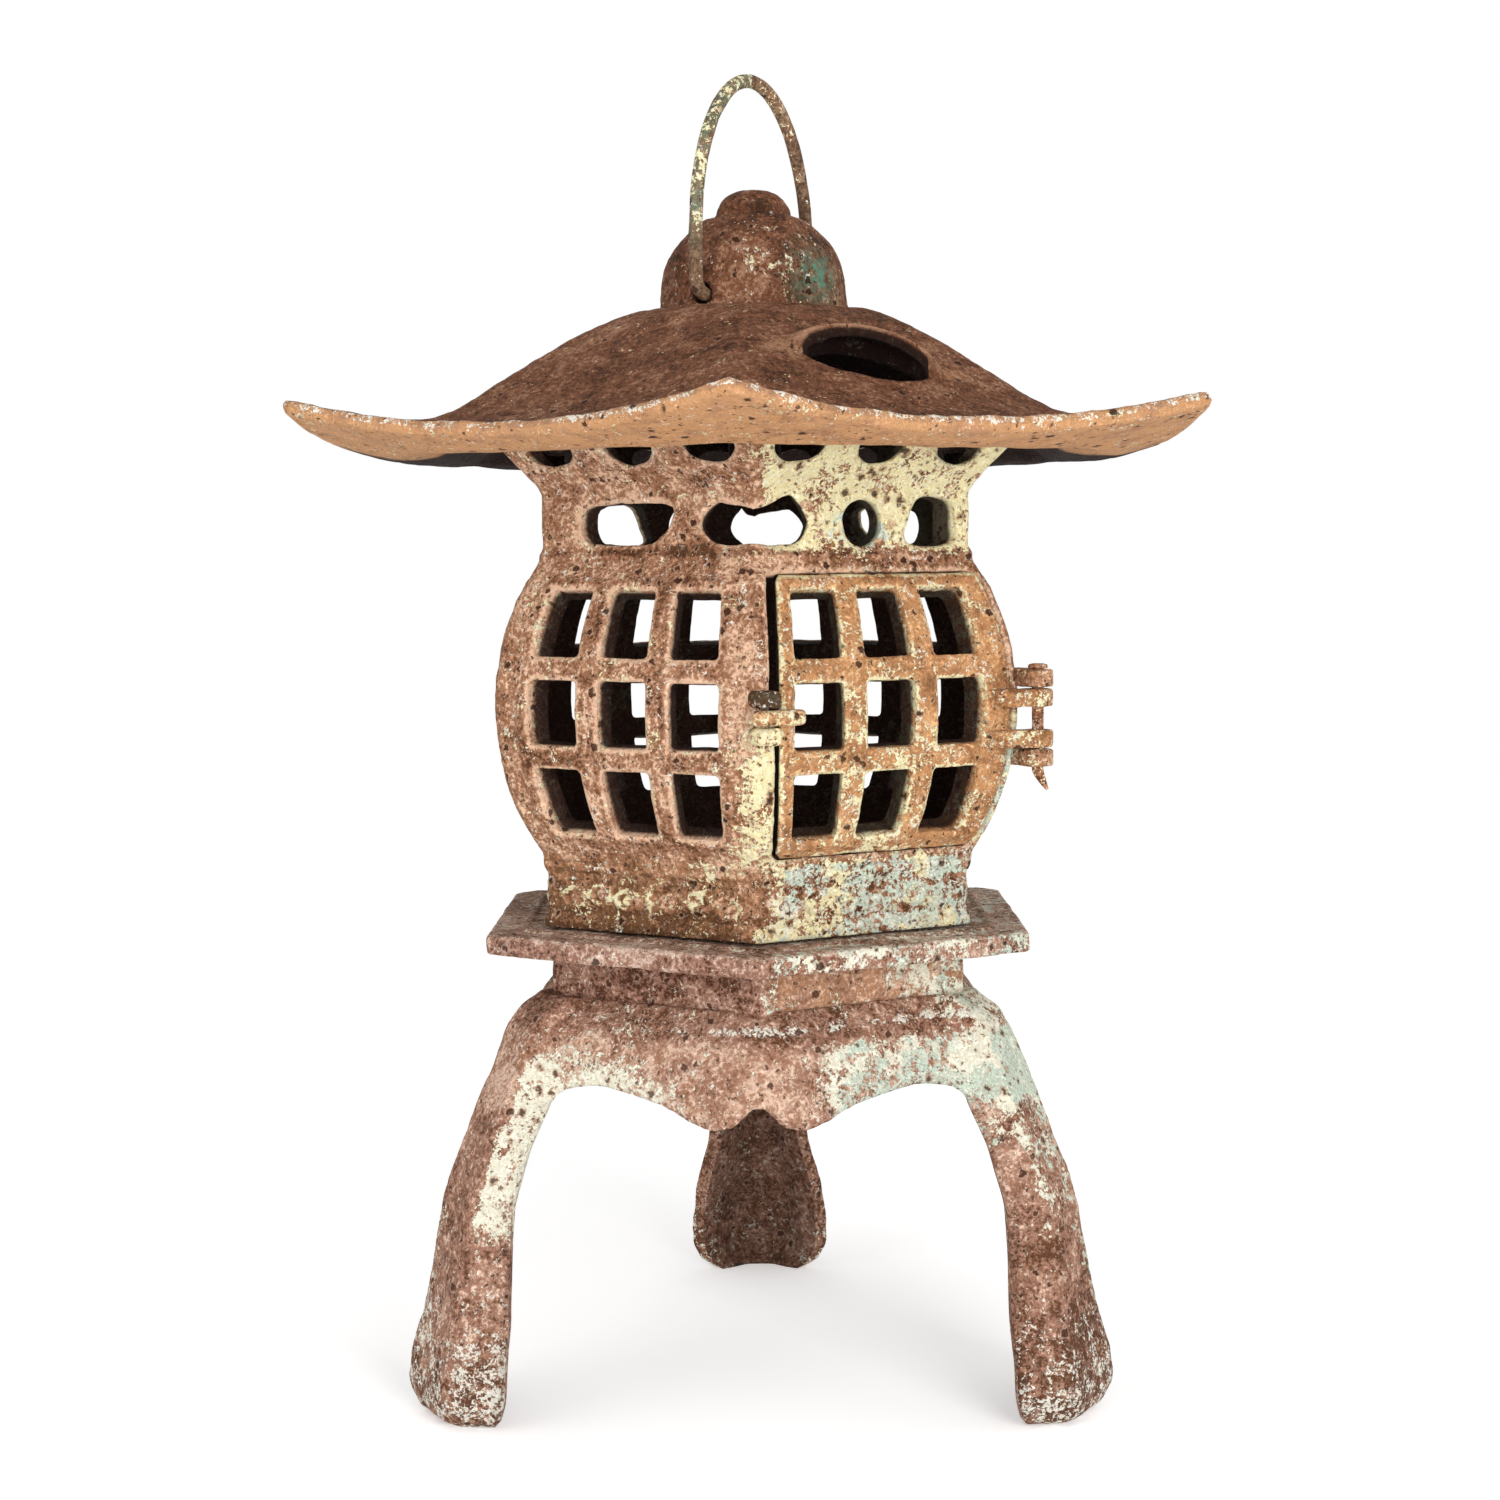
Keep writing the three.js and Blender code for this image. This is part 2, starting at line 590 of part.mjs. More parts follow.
function doorArm () {
  const edge = CORNER_AWAY + HINGE_POST + DOOR_GAP
  return [
    nearHinge(-FACE_DEPTH + DOOR_GAP, -1),
    nearHinge(-FACE_DEPTH + DOOR_GAP, edge + 0.4),
    nearHinge(-FACE_DEPTH - WALL / 2, edge + 0.8 + WALL / 2 * TAN30),
    nearHinge(-FACE_DEPTH - WALL / 2, edge + 9),
    nearHinge(3.4, edge + 0.6),
    nearHinge(3.9, 0)
  ]
}

function fireboxArm () {
  const radius = BELLY_RADIUS
  return [
    polar(radius - WALL, 60, 1),
    polar(radius - 0.4, 60, -0.6),
    polar(radius + HINGE_REACH - 1, 60, -KNUCKLE_RADIUS + 0.6),
    polar(radius + HINGE_REACH + 1, 60, KNUCKLE_RADIUS - 0.4),
    polar(radius - 3, 60, 8),
    polar(radius - WALL, 60, 5)
  ]
}

// Block on the face beside the front vertex, standing out of the wall
function catchBlock (from, to, sunk, depth, bottom, top) {
  const face = BELLY_RADIUS * COS30
  const sideOf = s => s - BELLY_RADIUS / 2
  const outline = [
    polar(face - sunk, 30, sideOf(from)),
    polar(face + depth, 30, sideOf(from)),
    polar(face + depth, 30, sideOf(to)),
    polar(face - sunk, 30, sideOf(to))
  ]
  return prism(outline, bottom, top)
}

const TONGUE_MIDDLE = BELLY_MIDDLE

function makeFirebox () {
  let box = fireboxShell()
  const cutters = [
    ...SIX.slice(1).flatMap(windowCutters),
    ...neckCutters(),
    ...corniceCutters(),
    wedge(POST_EDGE, HINGE_POST_EDGE, DOOR_Z0 - DOOR_GAP, DOOR_Z1 + DOOR_GAP)
  ]
  for (const cutter of cutters) box = box.subtract(cutter)
  for (const bearing of BASE_BOLT_BEARINGS) {
    const wall = (FOOT_RADIUS + MOULDING) * COS30
    const lug = prism([
      polar(BASE_BOLT_CIRCLE - LUG_HALF_WIDTH, bearing, -LUG_HALF_WIDTH / 2),
      polar(BASE_BOLT_CIRCLE - LUG_HALF_WIDTH / 2, bearing, -LUG_HALF_WIDTH),
      polar(wall - WALL / 2, bearing, -LUG_HALF_WIDTH),
      polar(wall - WALL / 2, bearing, LUG_HALF_WIDTH),
      polar(BASE_BOLT_CIRCLE - LUG_HALF_WIDTH / 2, bearing, LUG_HALF_WIDTH),
      polar(BASE_BOLT_CIRCLE - LUG_HALF_WIDTH, bearing, LUG_HALF_WIDTH / 2)
    ], FIREBOX_BOTTOM, FIREBOX_BOTTOM + LUG_THICKNESS)
    const hole = cylinder(BASE_SCREW_RADIUS + SHANK_GAP, FIREBOX_BOTTOM - 5,
      FIREBOX_BOTTOM + LUG_THICKNESS + 5, polar(BASE_BOLT_CIRCLE, bearing))
    box = box.add(lug).subtract(hole)
  }
  for (const bearing of LEG_BEARINGS) {
    const corner = CORNICE_RADIUS - WALL_ACROSS_CORNER / 2 - 0.15 * (CORNICE_RADIUS - NECK_RADIUS)
    const lug = prism([
      polar(ROOF_BOLT_CIRCLE - LUG_HALF_WIDTH, bearing, -LUG_HALF_WIDTH / 2),
      polar(ROOF_BOLT_CIRCLE - LUG_HALF_WIDTH / 2, bearing, -LUG_HALF_WIDTH),
      polar(corner - LUG_HALF_WIDTH * TAN30, bearing, -LUG_HALF_WIDTH),
      polar(corner, bearing),
      polar(corner - LUG_HALF_WIDTH * TAN30, bearing, LUG_HALF_WIDTH),
      polar(ROOF_BOLT_CIRCLE - LUG_HALF_WIDTH / 2, bearing, LUG_HALF_WIDTH),
      polar(ROOF_BOLT_CIRCLE - LUG_HALF_WIDTH, bearing, LUG_HALF_WIDTH / 2)
    ], FIREBOX_TOP - LUG_THICKNESS, FIREBOX_TOP)
    const hole = cylinder(ROOF_SCREW_RADIUS + SHANK_GAP, FIREBOX_TOP - LUG_THICKNESS - 5,
      FIREBOX_TOP + 5, polar(ROOF_BOLT_CIRCLE, bearing))
    box = box.add(lug).subtract(hole)
  }
  for (const middle of FIREBOX_LUGS) box = box.add(knuckle(fireboxArm(), middle))
  box = box.subtract(PIN_HOLE)
  for (const side of [-1, 1]) {
    const near = TONGUE_MIDDLE + side * (TONGUE_HEIGHT / 2 + KNUCKLE_GAP)
    const far = near + side * CATCH_HEIGHT
    box = box.add(catchBlock(-1, FRONT_POST - 0.4, WALL / 2, CATCH_DEPTH,
      Math.min(near, far), Math.max(near, far)))
  }
  return box
}

function makeDoor () {
  let door = fireboxShell().intersect(wedge(DOOR_FREE_EDGE, DOOR_HINGE_EDGE, DOOR_Z0, DOOR_Z1))
  for (const cutter of windowCutters(0)) door = door.subtract(cutter)
  const tongueRoot = FRONT_POST + DOOR_SLIT + 0.6 + WALL / 2 * TAN30
  const tongueEnd = tongueRoot + 2.6
  const tongueOut = DOOR_GAP + TONGUE_DEPTH
  const tongueBottom = TONGUE_MIDDLE - TONGUE_HEIGHT / 2
  const tongueTop = TONGUE_MIDDLE + TONGUE_HEIGHT / 2
  door = door
    .add(catchBlock(tongueRoot, tongueEnd, WALL / 2, tongueOut, tongueBottom, tongueTop))
    .add(catchBlock(tongueEnd - TONGUE_LENGTH, tongueEnd, -DOOR_GAP, tongueOut, tongueBottom, tongueTop))
  for (const middle of DOOR_LUGS) door = door.add(knuckle(doorArm(), middle))
  return door.subtract(PIN_HOLE)
}

// Cut nail that serves as the hinge pin: a small head on the top lug, its tail bent outwards
function makeHingePin () {
  const top = FIREBOX_LUGS[1] + KNUCKLE_THICKNESS / 2 + SEAT_GAP
  const bottom = FIREBOX_LUGS[0] - KNUCKLE_THICKNESS / 2 - 1
  const tail = stack([
    { z: bottom - 5.5, radius: 0.5, shift: 3 },
    { z: bottom - 3, radius: 1.1, shift: 1.4 },
    { z: bottom, radius: PIN_RADIUS, shift: 0 }
  ].map(({ z, radius, shift }) => {
    const centre = polar(BELLY_RADIUS + HINGE_REACH + shift, 60)
    return { z, outline: SIX.map(a => polar(radius, a)).map(([x, y]) => [x + centre[0], y + centre[1]]) }
  }))
  return cylinder(PIN_RADIUS, bottom - 0.01, top + PIN_HEAD_THICKNESS / 2, HINGE_AXIS, 12)
    .add(cylinder(PIN_HEAD_RADIUS, top, top + PIN_HEAD_THICKNESS, HINGE_AXIS, 12))
    .add(tail)
}

// Roof: six concave panels with upturned tips, a dome and a knob, in one casting

// Depth of the panels under the foot of the dome along a hip, by radius
const PANEL_FALL = [
  [DOME_RADIUS, 0], [39, 1.6], [48, 4.6], [58, 9.2], [68, 14.6], [76, 19.2], [84, 23.8], [92, 29],
  [100, 32.8], [109, 35.6], [117, 36.9], [124, 37.4], [TIP_RADIUS, 37.4]
]
// Depth of the underside under the foot of the dome along a hip, by radius, inside the eaves
const UNDERSIDE_FALL = [
  [DOME_RADIUS - DOME_WALL, 5.5], [39, 7.4], [48, 10.8], [58, 15.4], [68, 20.6], [76, 25], [84, 29.2],
  [92, 33.6], [98, 38.6], [106, 43.4], [114, 44.4]
]
const EAVE_BELLY_RADIUS = 108 // where the underside of the eaves hangs lowest

// Share of the way from a tip (0) to the middle of an eave (1)
function eaveShare (bearing) {
  const turn = (((bearing - ROOF_TURN) % 60) + 60) % 60
  return Math.min(turn, 60 - turn) / 30
}

function eaveRadius (bearing) {
  const w = eaveShare(bearing)
  const straight = TIP_RADIUS * COS30 / Math.cos(radians(30 - 30 * w))
  return straight - EAVE_BOW * Math.sin(w * Math.PI / 2)
}

// Vertex radius of the level hexagon through a point, rounded off towards the dome
function hexRadius (radius, bearing) {
  const flat = radius * Math.cos(radians(30 - 30 * eaveShare(bearing))) / COS30
  const t = THREE.MathUtils.clamp((radius - DOME_RADIUS) / 26, 0, 1)
  return radius + (flat - radius) * t
}

function panelHeight (radius, bearing) {
  const curl = Math.max(0, radius - CURL_START) / (TIP_RADIUS - CURL_START)
  return DOME_FOOT - along(PANEL_FALL, hexRadius(radius, bearing)) +
    TIP_RISE * curl * (1 - eaveShare(bearing)) ** 1.6
}

function undersideHeight (radius, bearing) {
  return DOME_FOOT - along(UNDERSIDE_FALL, hexRadius(radius, bearing))
}

// Height of the underside outside its lowest ring, rising in a hull to the eave's lip
function hullHeight (radius, bearing) {
  const edge = eaveRadius(bearing)
  const low = undersideHeight(EAVE_BELLY_RADIUS, bearing)
  const lip = panelHeight(edge, bearing) - EAVE_LIP
  const t = (radius - EAVE_BELLY_RADIUS) / (edge - EAVE_BELLY_RADIUS)
  return low + (lip - low) * t ** 1.25
}

function domeProfile () {
  const knobFoot = DOME_FOOT + DOME_HEIGHT
  return [
    [0, knobFoot + KNOB_HEIGHT],
    [0.45 * KNOB_RADIUS, knobFoot + 0.95 * KNOB_HEIGHT],
    [0.8 * KNOB_RADIUS, knobFoot + 0.72 * KNOB_HEIGHT],
    [KNOB_RADIUS, knobFoot + 0.32 * KNOB_HEIGHT],
    [1.12 * KNOB_RADIUS, knobFoot],
    [0.52 * DOME_RADIUS, knobFoot - 0.03 * DOME_HEIGHT],
    [0.67 * DOME_RADIUS, DOME_FOOT + 0.86 * DOME_HEIGHT],
    [0.83 * DOME_RADIUS, DOME_FOOT + 0.69 * DOME_HEIGHT],
    [0.93 * DOME_RADIUS, DOME_FOOT + 0.5 * DOME_HEIGHT],
    [0.98 * DOME_RADIUS, DOME_FOOT + 0.3 * DOME_HEIGHT],
    [DOME_RADIUS, DOME_FOOT + 0.1 * DOME_HEIGHT],
    [DOME_RADIUS + 1, DOME_FOOT - 0.2]
  ]
}

// Solid of turning a profile that changes with the bearing, from the axis back to the axis
function turned (profileAt, sectors, firstBearing) {
  const bearingOf = i => firstBearing + 360 * i / sectors
  const rings = Array.from({ length: sectors }, (_, i) => profileAt(bearingOf(i)))
  const count = rings[0].length
  const inner = count - 2
  const positions = [0, 0, rings[0][0][1]]
  const index = []
  rings.forEach((ring, i) => {
    for (const [radius, z] of ring.slice(1, -1)) {
      positions.push(...polar(radius, bearingOf(i)), z)
    }
  })
  positions.push(0, 0, rings[0][count - 1][1])
  const bottom = positions.length / 3 - 1
  const at = (i, k) => 1 + (i % sectors) * inner + k
  for (let i = 0; i < sectors; i++) {
    index.push(0, at(i, 0), at(i + 1, 0), bottom, at(i + 1, inner - 1), at(i, inner - 1))
    for (let k = 0; k < inner - 1; k++) {
      index.push(at(i, k), at(i, k + 1), at(i + 1, k + 1), at(i, k), at(i + 1, k + 1), at(i + 1, k))
    }
  }
  return fromArrays(positions, index)
}

const PANEL_RADII = [38, 47, 57, 67, 77, 87, 97, 107]
const HULL_SHARES = [0.67, 0.33]
const ROOF_SECTORS = 36

function roofTop (bearing) {
  const edge = eaveRadius(bearing)
  const start = PANEL_RADII[PANEL_RADII.length - 1]
  const outer = [0.35, 0.7, 1].map(share => start + share * (edge - start))
  return [
    ...domeProfile(),
    ...[...PANEL_RADII, ...outer].map(radius => [radius, panelHeight(radius, bearing)])
  ]
}

function roofShell () {
  return turned(bearing => {
    const edge = eaveRadius(bearing)
    const hull = [1, ...HULL_SHARES].map(share => {
      const radius = EAVE_BELLY_RADIUS + share * (edge - EAVE_BELLY_RADIUS)
      return [share === 1 ? radius - 0.8 : radius, hullHeight(radius, bearing)]
    })
    const under = [EAVE_BELLY_RADIUS, 100, 92, 82, 70, 54, 37]
      .map(radius => [radius, undersideHeight(radius, bearing)])
    const hollow = [
      [DOME_RADIUS - DOME_WALL, undersideHeight(DOME_RADIUS - DOME_WALL, bearing)],
      [DOME_RADIUS - DOME_WALL, DOME_FOOT + 0.25 * DOME_HEIGHT],
      [0.9 * (DOME_RADIUS - DOME_WALL), DOME_FOOT + 0.48 * DOME_HEIGHT],
      [0.6 * (DOME_RADIUS - DOME_WALL), DOME_FOOT + 0.72 * DOME_HEIGHT],
      [0, DOME_FOOT + DOME_HEIGHT - DOME_WALL]
    ]
    return [...roofTop(bearing), ...hull, ...under, ...hollow]
  }, ROOF_SECTORS, ROOF_TURN)
}

// Everything under the roof's upper face, to trim what hangs from it
function roofMass () {
  const low = ROOF_SEAT - 30
  return turned(bearing => [...roofTop(bearing), [eaveRadius(bearing), low], [0, low]], ROOF_SECTORS, ROOF_TURN)
}

// Slope of a panel round its vent. The panel rises under the uphill half of the oval, so the
// hood's crest stands higher over the middle of the vent than over the panel beside it.
const PANEL_SLOPE = 0.6
const HOOD_CREST = HOOD_HEIGHT + VENT_HALF_WIDTH * PANEL_SLOPE

// Point of a vent, out across its slanted long axis and side along it, with the drop of the panel
function ventPoint (bearing, out, side) {
  const slant = radians(VENT_SLANT)
  const down = out * Math.cos(slant) + side * Math.sin(slant)
  const across = side * Math.cos(slant) - out * Math.sin(slant)
  return [...polar(VENT_RADIUS + down, bearing, across), side * Math.sin(slant) * PANEL_SLOPE]
}

// Solid over an oval on a roof panel, rounded off towards its top
function ventOval (bearing, grow, bottom, top) {
  const ground = panelHeight(VENT_RADIUS, bearing)
  const level = (height, inset) => ({
    z: ground + height,
    outline: ellipse(0, 0, VENT_HALF_WIDTH + grow, VENT_HALF_LENGTH + grow, 20)
      .map(([out, side]) => ventPoint(bearing, out * inset, side * inset))
  })
  return stack([level(bottom, 1), level(top * 0.45, 1), level(top * 0.82, 0.93), level(top, 0.74)])
}

function makeRoof () {
  let roof = roofShell()
  const mass = roofMass()
  const rim = prism(hexagon(CORNICE_RADIUS), ROOF_SEAT, DOME_FOOT)
    .subtract(prism(hexagon(CORNICE_RADIUS - SEAT_RIM_WIDTH), ROOF_SEAT - 5, DOME_FOOT + 5))
  roof = roof.add(rim.intersect(mass))
  for (const bearing of LEG_BEARINGS) {
    const centre = polar(ROOF_BOLT_CIRCLE, bearing)
    const boss = cylinder(BOSS_RADIUS, ROOF_SEAT, DOME_FOOT, centre).intersect(mass)
    const hole = cylinder(ROOF_SCREW_RADIUS + SHANK_GAP, ROOF_SEAT - 5, ROOF_SEAT + ROOF_SCREW_BITE + 1,
      centre)
    roof = roof.add(boss).subtract(hole)
  }
  for (const vent of VENT_BEARINGS) {
    const bearing = vent + ROOF_TURN
    const reach = VENT_HALF_LENGTH + 2 * HOOD_WALL
    const uphill = prism([[0, -reach], [0, reach], [-reach, reach], [-reach, -reach]]
      .map(([out, side]) => ventPoint(bearing, out, side).slice(0, 2)), ROOF_SEAT, DOME_FOOT + DOME_HEIGHT)
    const hood = ventOval(bearing, HOOD_WALL, -3, HOOD_CREST).intersect(uphill)
    const throat = ventOval(bearing, 0, -20, HOOD_CREST - HOOD_WALL)
    roof = roof.add(hood).subtract(throat)
  }
  const holeRadius = BAIL_WIRE_RADIUS + BAIL_HOLE_GAP
  const hole = new THREE.CylinderGeometry(holeRadius, holeRadius, 4 * DOME_RADIUS, 16)
  hole.translate(0, 0, BAIL_AXIS)
  hole.rotateZ(radians(BAIL_BEARING))
  return roof.subtract(toManifold(hole))
}

// Bail: one piece of round wire through both sides of the dome

function makeBail () {
  const half = BAIL_HALF_WIDTH
  const knee = radius => [[half - radius * 0.3, BAIL_AXIS + radius * 0.3]]
  const side = [
    [BAIL_END, BAIL_AXIS],
    [(BAIL_END + half - BAIL_BEND) / 2, BAIL_AXIS],
    [half - BAIL_BEND, BAIL_AXIS],
    ...knee(BAIL_BEND),
    [half - 0.2, BAIL_AXIS + BAIL_BEND],
    [half, BAIL_AXIS + (BAIL_BEND + BAIL_SHOULDER) / 2],
    [half, BAIL_AXIS + BAIL_SHOULDER]
  ]
  const arch = [15, 30, 45, 60, 75].map(a => [
    half * Math.cos(radians(a)),
    BAIL_AXIS + BAIL_SHOULDER + (BAIL_RISE - BAIL_SHOULDER) * Math.sin(radians(a))
  ])
  const right = [...side, ...arch]
  const points = [
    ...right,
    [0, BAIL_AXIS + BAIL_RISE],
    ...right.slice().reverse().map(([x, z]) => [-x, z])
  ]
  const path = new THREE.CatmullRomCurve3(
    points.map(([x, z]) => new THREE.Vector3(0, -x, z)), false, 'centripetal')
  const section = new THREE.Shape(Array.from({ length: 8 }, (_, i) => {
    const a = 2 * Math.PI * i / 8
    return new THREE.Vector2(BAIL_WIRE_RADIUS * Math.cos(a), BAIL_WIRE_RADIUS * Math.sin(a))
  }))
  const geometry = new THREE.ExtrudeGeometry(section, { steps: 72, extrudePath: path, bevelEnabled: false })
  geometry.rotateZ(radians(BAIL_BEARING))
  return toManifold(geometry)
}

// Candle cup and fasteners

const CUP_BOTTOM = PLATE_TOP + SEAT_GAP
const CUP_RECESS = CUP_BOTTOM + CUP_FLOOR - CUP_HEAD_THICKNESS - 2 * SEAT_GAP

// The screw's head lies in a recess, so that a candle stands flat on the floor
function makeCandleCup () {
  const hole = CUP_SCREW_RADIUS + SHANK_GAP
  const recess = CUP_HEAD_RADIUS + CUP_HEAD_GAP
  return lathe([
    [hole, CUP_BOTTOM],
    [CUP_RADIUS, CUP_BOTTOM],
    [CUP_RADIUS + CUP_FLARE, CUP_BOTTOM + CUP_HEIGHT],
    [CUP_RADIUS + CUP_FLARE - CUP_WALL, CUP_BOTTOM + CUP_HEIGHT],
    [CUP_RADIUS - CUP_WALL, CUP_BOTTOM + CUP_FLOOR],
    [recess, CUP_BOTTOM + CUP_FLOOR],
    [recess, CUP_RECESS],
    [hole, CUP_RECESS],
    [hole, CUP_BOTTOM]
  ])
}

// Round-headed screw; a positive direction puts its head on top
function screw (centre, headSeat, tip, radius, headRadius, headThickness, direction) {
  const seat = headSeat + direction * SEAT_GAP
  const crown = seat + direction * headThickness
  const [low, high] = direction > 0 ? [tip, seat + 0.5] : [seat - 0.5, tip]
  const shank = cylinder(radius, low, high, centre, 12)
  const rows = [[seat, 1], [seat + direction * headThickness * 0.5, 0.88], [crown, 0.5]]
  if (direction < 0) rows.reverse()
  const head = stack(rows.map(([z, share]) => ({
    z,
    outline: Array.from({ length: 12 }, (_, i) => polar(headRadius * share, 30 * i))
      .map(([x, y]) => [x + centre[0], y + centre[1]])
  })))
  return shank.add(head)
}

function hexNut (centre, bottom, radius, thickness, hole) {
  const outline = hexagon(radius).map(([x, y]) => [x + centre[0], y + centre[1]])
  return prism(outline, bottom, bottom + thickness)
    .subtract(cylinder(hole, bottom - 5, bottom + thickness + 5, centre, 12))
}

const baseNutBottom = STAND_TOP - PEDESTAL_DECK - SEAT_GAP - BASE_NUT_THICKNESS
const cupNutBottom = PLATE_BOTTOM - SEAT_GAP - CUP_NUT_THICKNESS

function makeBaseScrew (bearing) {
  return screw(polar(BASE_BOLT_CIRCLE, bearing), FIREBOX_BOTTOM + LUG_THICKNESS, baseNutBottom - SCREW_TAIL,
    BASE_SCREW_RADIUS, BASE_HEAD_RADIUS, BASE_HEAD_THICKNESS, 1)
}

function makeBaseNut (bearing) {
  return hexNut(polar(BASE_BOLT_CIRCLE, bearing), baseNutBottom, BASE_NUT_RADIUS, BASE_NUT_THICKNESS,
    BASE_SCREW_RADIUS + SHANK_GAP)
}

function makeRoofScrew (bearing) {
  return screw(polar(ROOF_BOLT_CIRCLE, bearing), FIREBOX_TOP - LUG_THICKNESS, ROOF_SEAT + ROOF_SCREW_BITE,
    ROOF_SCREW_RADIUS, ROOF_HEAD_RADIUS, ROOF_HEAD_THICKNESS, -1)
}

function makeCupScrew () {
  return screw([0, 0], CUP_RECESS, cupNutBottom - SCREW_TAIL,
    CUP_SCREW_RADIUS, CUP_HEAD_RADIUS, CUP_HEAD_THICKNESS, 1)
}

function makeCupNut () {
  return hexNut([0, 0], cupNutBottom, CUP_NUT_RADIUS, CUP_NUT_THICKNESS, CUP_SCREW_RADIUS + SHANK_GAP)
}

// Scene graph

const lantern = new THREE.Group()

function place (name, solid, color, roughness = 0.85, metalness = 0.35) {
  const material = new THREE.MeshStandardMaterial({ color, roughness, metalness })
  const mesh = new THREE.Mesh(toGeometry(solid), material)
  mesh.name = name
  lantern.add(mesh)
}

place('tripod_stand', makeStand(), 0x8c6a54)
place('platform_plate', makePlate(), 0x8a6c5c)
place('firebox', makeFirebox(), 0x9a7661)
place('door', makeDoor(), 0xa67c56)
place('hinge_pin', makeHingePin(), 0x5a463a, 0.7, 0.6)
place('roof', makeRoof(), 0x6e4c3c)
place('bail', makeBail(), 0x6d5a48, 0.7, 0.6)
place('candle_cup', makeCandleCup(), 0x54443a)
place('candle_cup_screw', makeCupScrew(), 0x4c4038, 0.7, 0.6)
place('candle_cup_nut', makeCupNut(), 0x4c4038, 0.7, 0.6)
BASE_BOLT_BEARINGS.forEach((bearing, i) => {
  place(`base_screw_${i + 1}`, makeBaseScrew(bearing), 0x4c4038, 0.7, 0.6)
  place(`base_nut_${i + 1}`, makeBaseNut(bearing), 0x4c4038, 0.7, 0.6)
})
LEG_BEARINGS.forEach((bearing, i) => {
  place(`roof_screw_${i + 1}`, makeRoofScrew(bearing), 0x4c4038, 0.7, 0.6)
})

export default lantern
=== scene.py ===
"""Rusted cast-iron pagoda lantern: visible surfaces, finishes, studio and camera.

The shape functions work in millimetres in the CAD frame: +Z up, the origin on the ground on the
lantern's centre line, a corner of the hexagon towards -Y. A bearing is counted in degrees from that
corner, turning towards +X. Meshes are written in metres.
"""
import itertools
import math

import bmesh
import bpy
import numpy as np
from mathutils import Matrix, Vector


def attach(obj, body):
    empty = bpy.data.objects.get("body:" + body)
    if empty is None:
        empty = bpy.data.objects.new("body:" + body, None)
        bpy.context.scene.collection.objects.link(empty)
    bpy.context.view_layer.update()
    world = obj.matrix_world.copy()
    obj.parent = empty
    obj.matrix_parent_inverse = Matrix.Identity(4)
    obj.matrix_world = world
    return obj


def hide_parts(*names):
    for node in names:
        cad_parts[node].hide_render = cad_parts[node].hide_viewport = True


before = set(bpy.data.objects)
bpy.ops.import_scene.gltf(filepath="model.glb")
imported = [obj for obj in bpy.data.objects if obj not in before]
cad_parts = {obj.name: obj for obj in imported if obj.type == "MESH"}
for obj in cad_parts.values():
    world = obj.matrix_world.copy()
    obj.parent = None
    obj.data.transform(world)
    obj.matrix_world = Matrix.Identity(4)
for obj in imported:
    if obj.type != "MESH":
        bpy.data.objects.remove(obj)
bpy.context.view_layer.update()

bl_info = {
    "name": "Pagoda Lantern",
    "version": (1, 0, 0),
    "blender": (4, 5, 0),
    "location": "View3D > Sidebar > Lantern",
    "description": "Builds a rusted cast-iron hexagonal pagoda lantern, its finishes and its studio",
    "category": "Add Mesh",
}

# Measures as in the CAD source, in millimetres, with bearings and turns in degrees
STAND_WALL = 5.5
LEG_HEIGHT = 120.5
STAND_TOP = 133.1
PEDESTAL_RADIUS = 69.5
PEDESTAL_DECK = 5.0
DECK_HOLE_RADIUS = 30.0
LEG_FACET_WIDTH = 20.8
CUSP_LEVEL, LOBE_LEVEL, CROWN_LEVEL = LEG_HEIGHT - 23.0, LEG_HEIGHT - 30.7, LEG_HEIGHT - 22.3
LOBE_OFFSET, CROWN_OFFSET = 13.5, 46.0
PLATE_BOTTOM, PLATE_TOP, PLATE_STEP = 133.4, 140.2, 0.8
PLATE_RADIUS = 90.7
WALL = 6.0
FIREBOX_BOTTOM, FIREBOX_TOP = 140.5, 286.0
BELLY_BOTTOM, BELLY_TOP, NECK_TOP = 160.0, 248.5, 265.5
FOOT_RADIUS, NECK_RADIUS, CORNICE_RADIUS = 70.4, 71.0, 89.0
BELLY_RISE = 16.2
BELLY_RADIUS = FOOT_RADIUS + BELLY_RISE
MOULDING = 1.3
POST_SHARE, BAR_SHARE, RAIL_WIDTH = 0.137, 0.086, 6.4
LATTICE_BOTTOM, LATTICE_TOP = 9.3, 10.2
NECK_SILL, NECK_HEAD = BELLY_TOP + 2.6, BELLY_TOP + 14.0
PORT_RADIUS, PORT_OFFSET, REAR_PORT_OFFSET = 6.5, 35.0, 29.0
CLOUD_REACH, REAR_CLOUD_REACHES, CLOUD_LIFT = 17.5, (10.0, 20.0), 1.6
BOAT_SPAN, REAR_BOAT_SPAN = (27.0, 57.5), (40.0, 66.0)
ARCH_SPAN, REAR_ARCH_SPAN = (50.0, 66.4), (43.3, 66.0)
SIDE_OPENING_MARGIN = 7.0
OVAL_HALF_WIDTH, OVAL_HALF_HEIGHT, OVAL_LEVEL = 8.0, 4.7, NECK_TOP + 12.2
BAND_BOTTOM, BAND_TOP, SCROLL_LEVEL = 144.6, 156.2, 150.3
DOOR_Z0, DOOR_Z1, DOOR_GAP = 163.8, 242.7, 0.6
SLOT_BOTTOM, SLOT_HALF_WIDTH = 205.0, 1.7
POST_EDGE = 5.6 / BELLY_RADIUS
DOOR_FREE_EDGE = 7.1 / BELLY_RADIUS
DOOR_HINGE_EDGE = 1 - 2.9 / BELLY_RADIUS
HINGE_POST_EDGE = 1 - 2.3 / BELLY_RADIUS
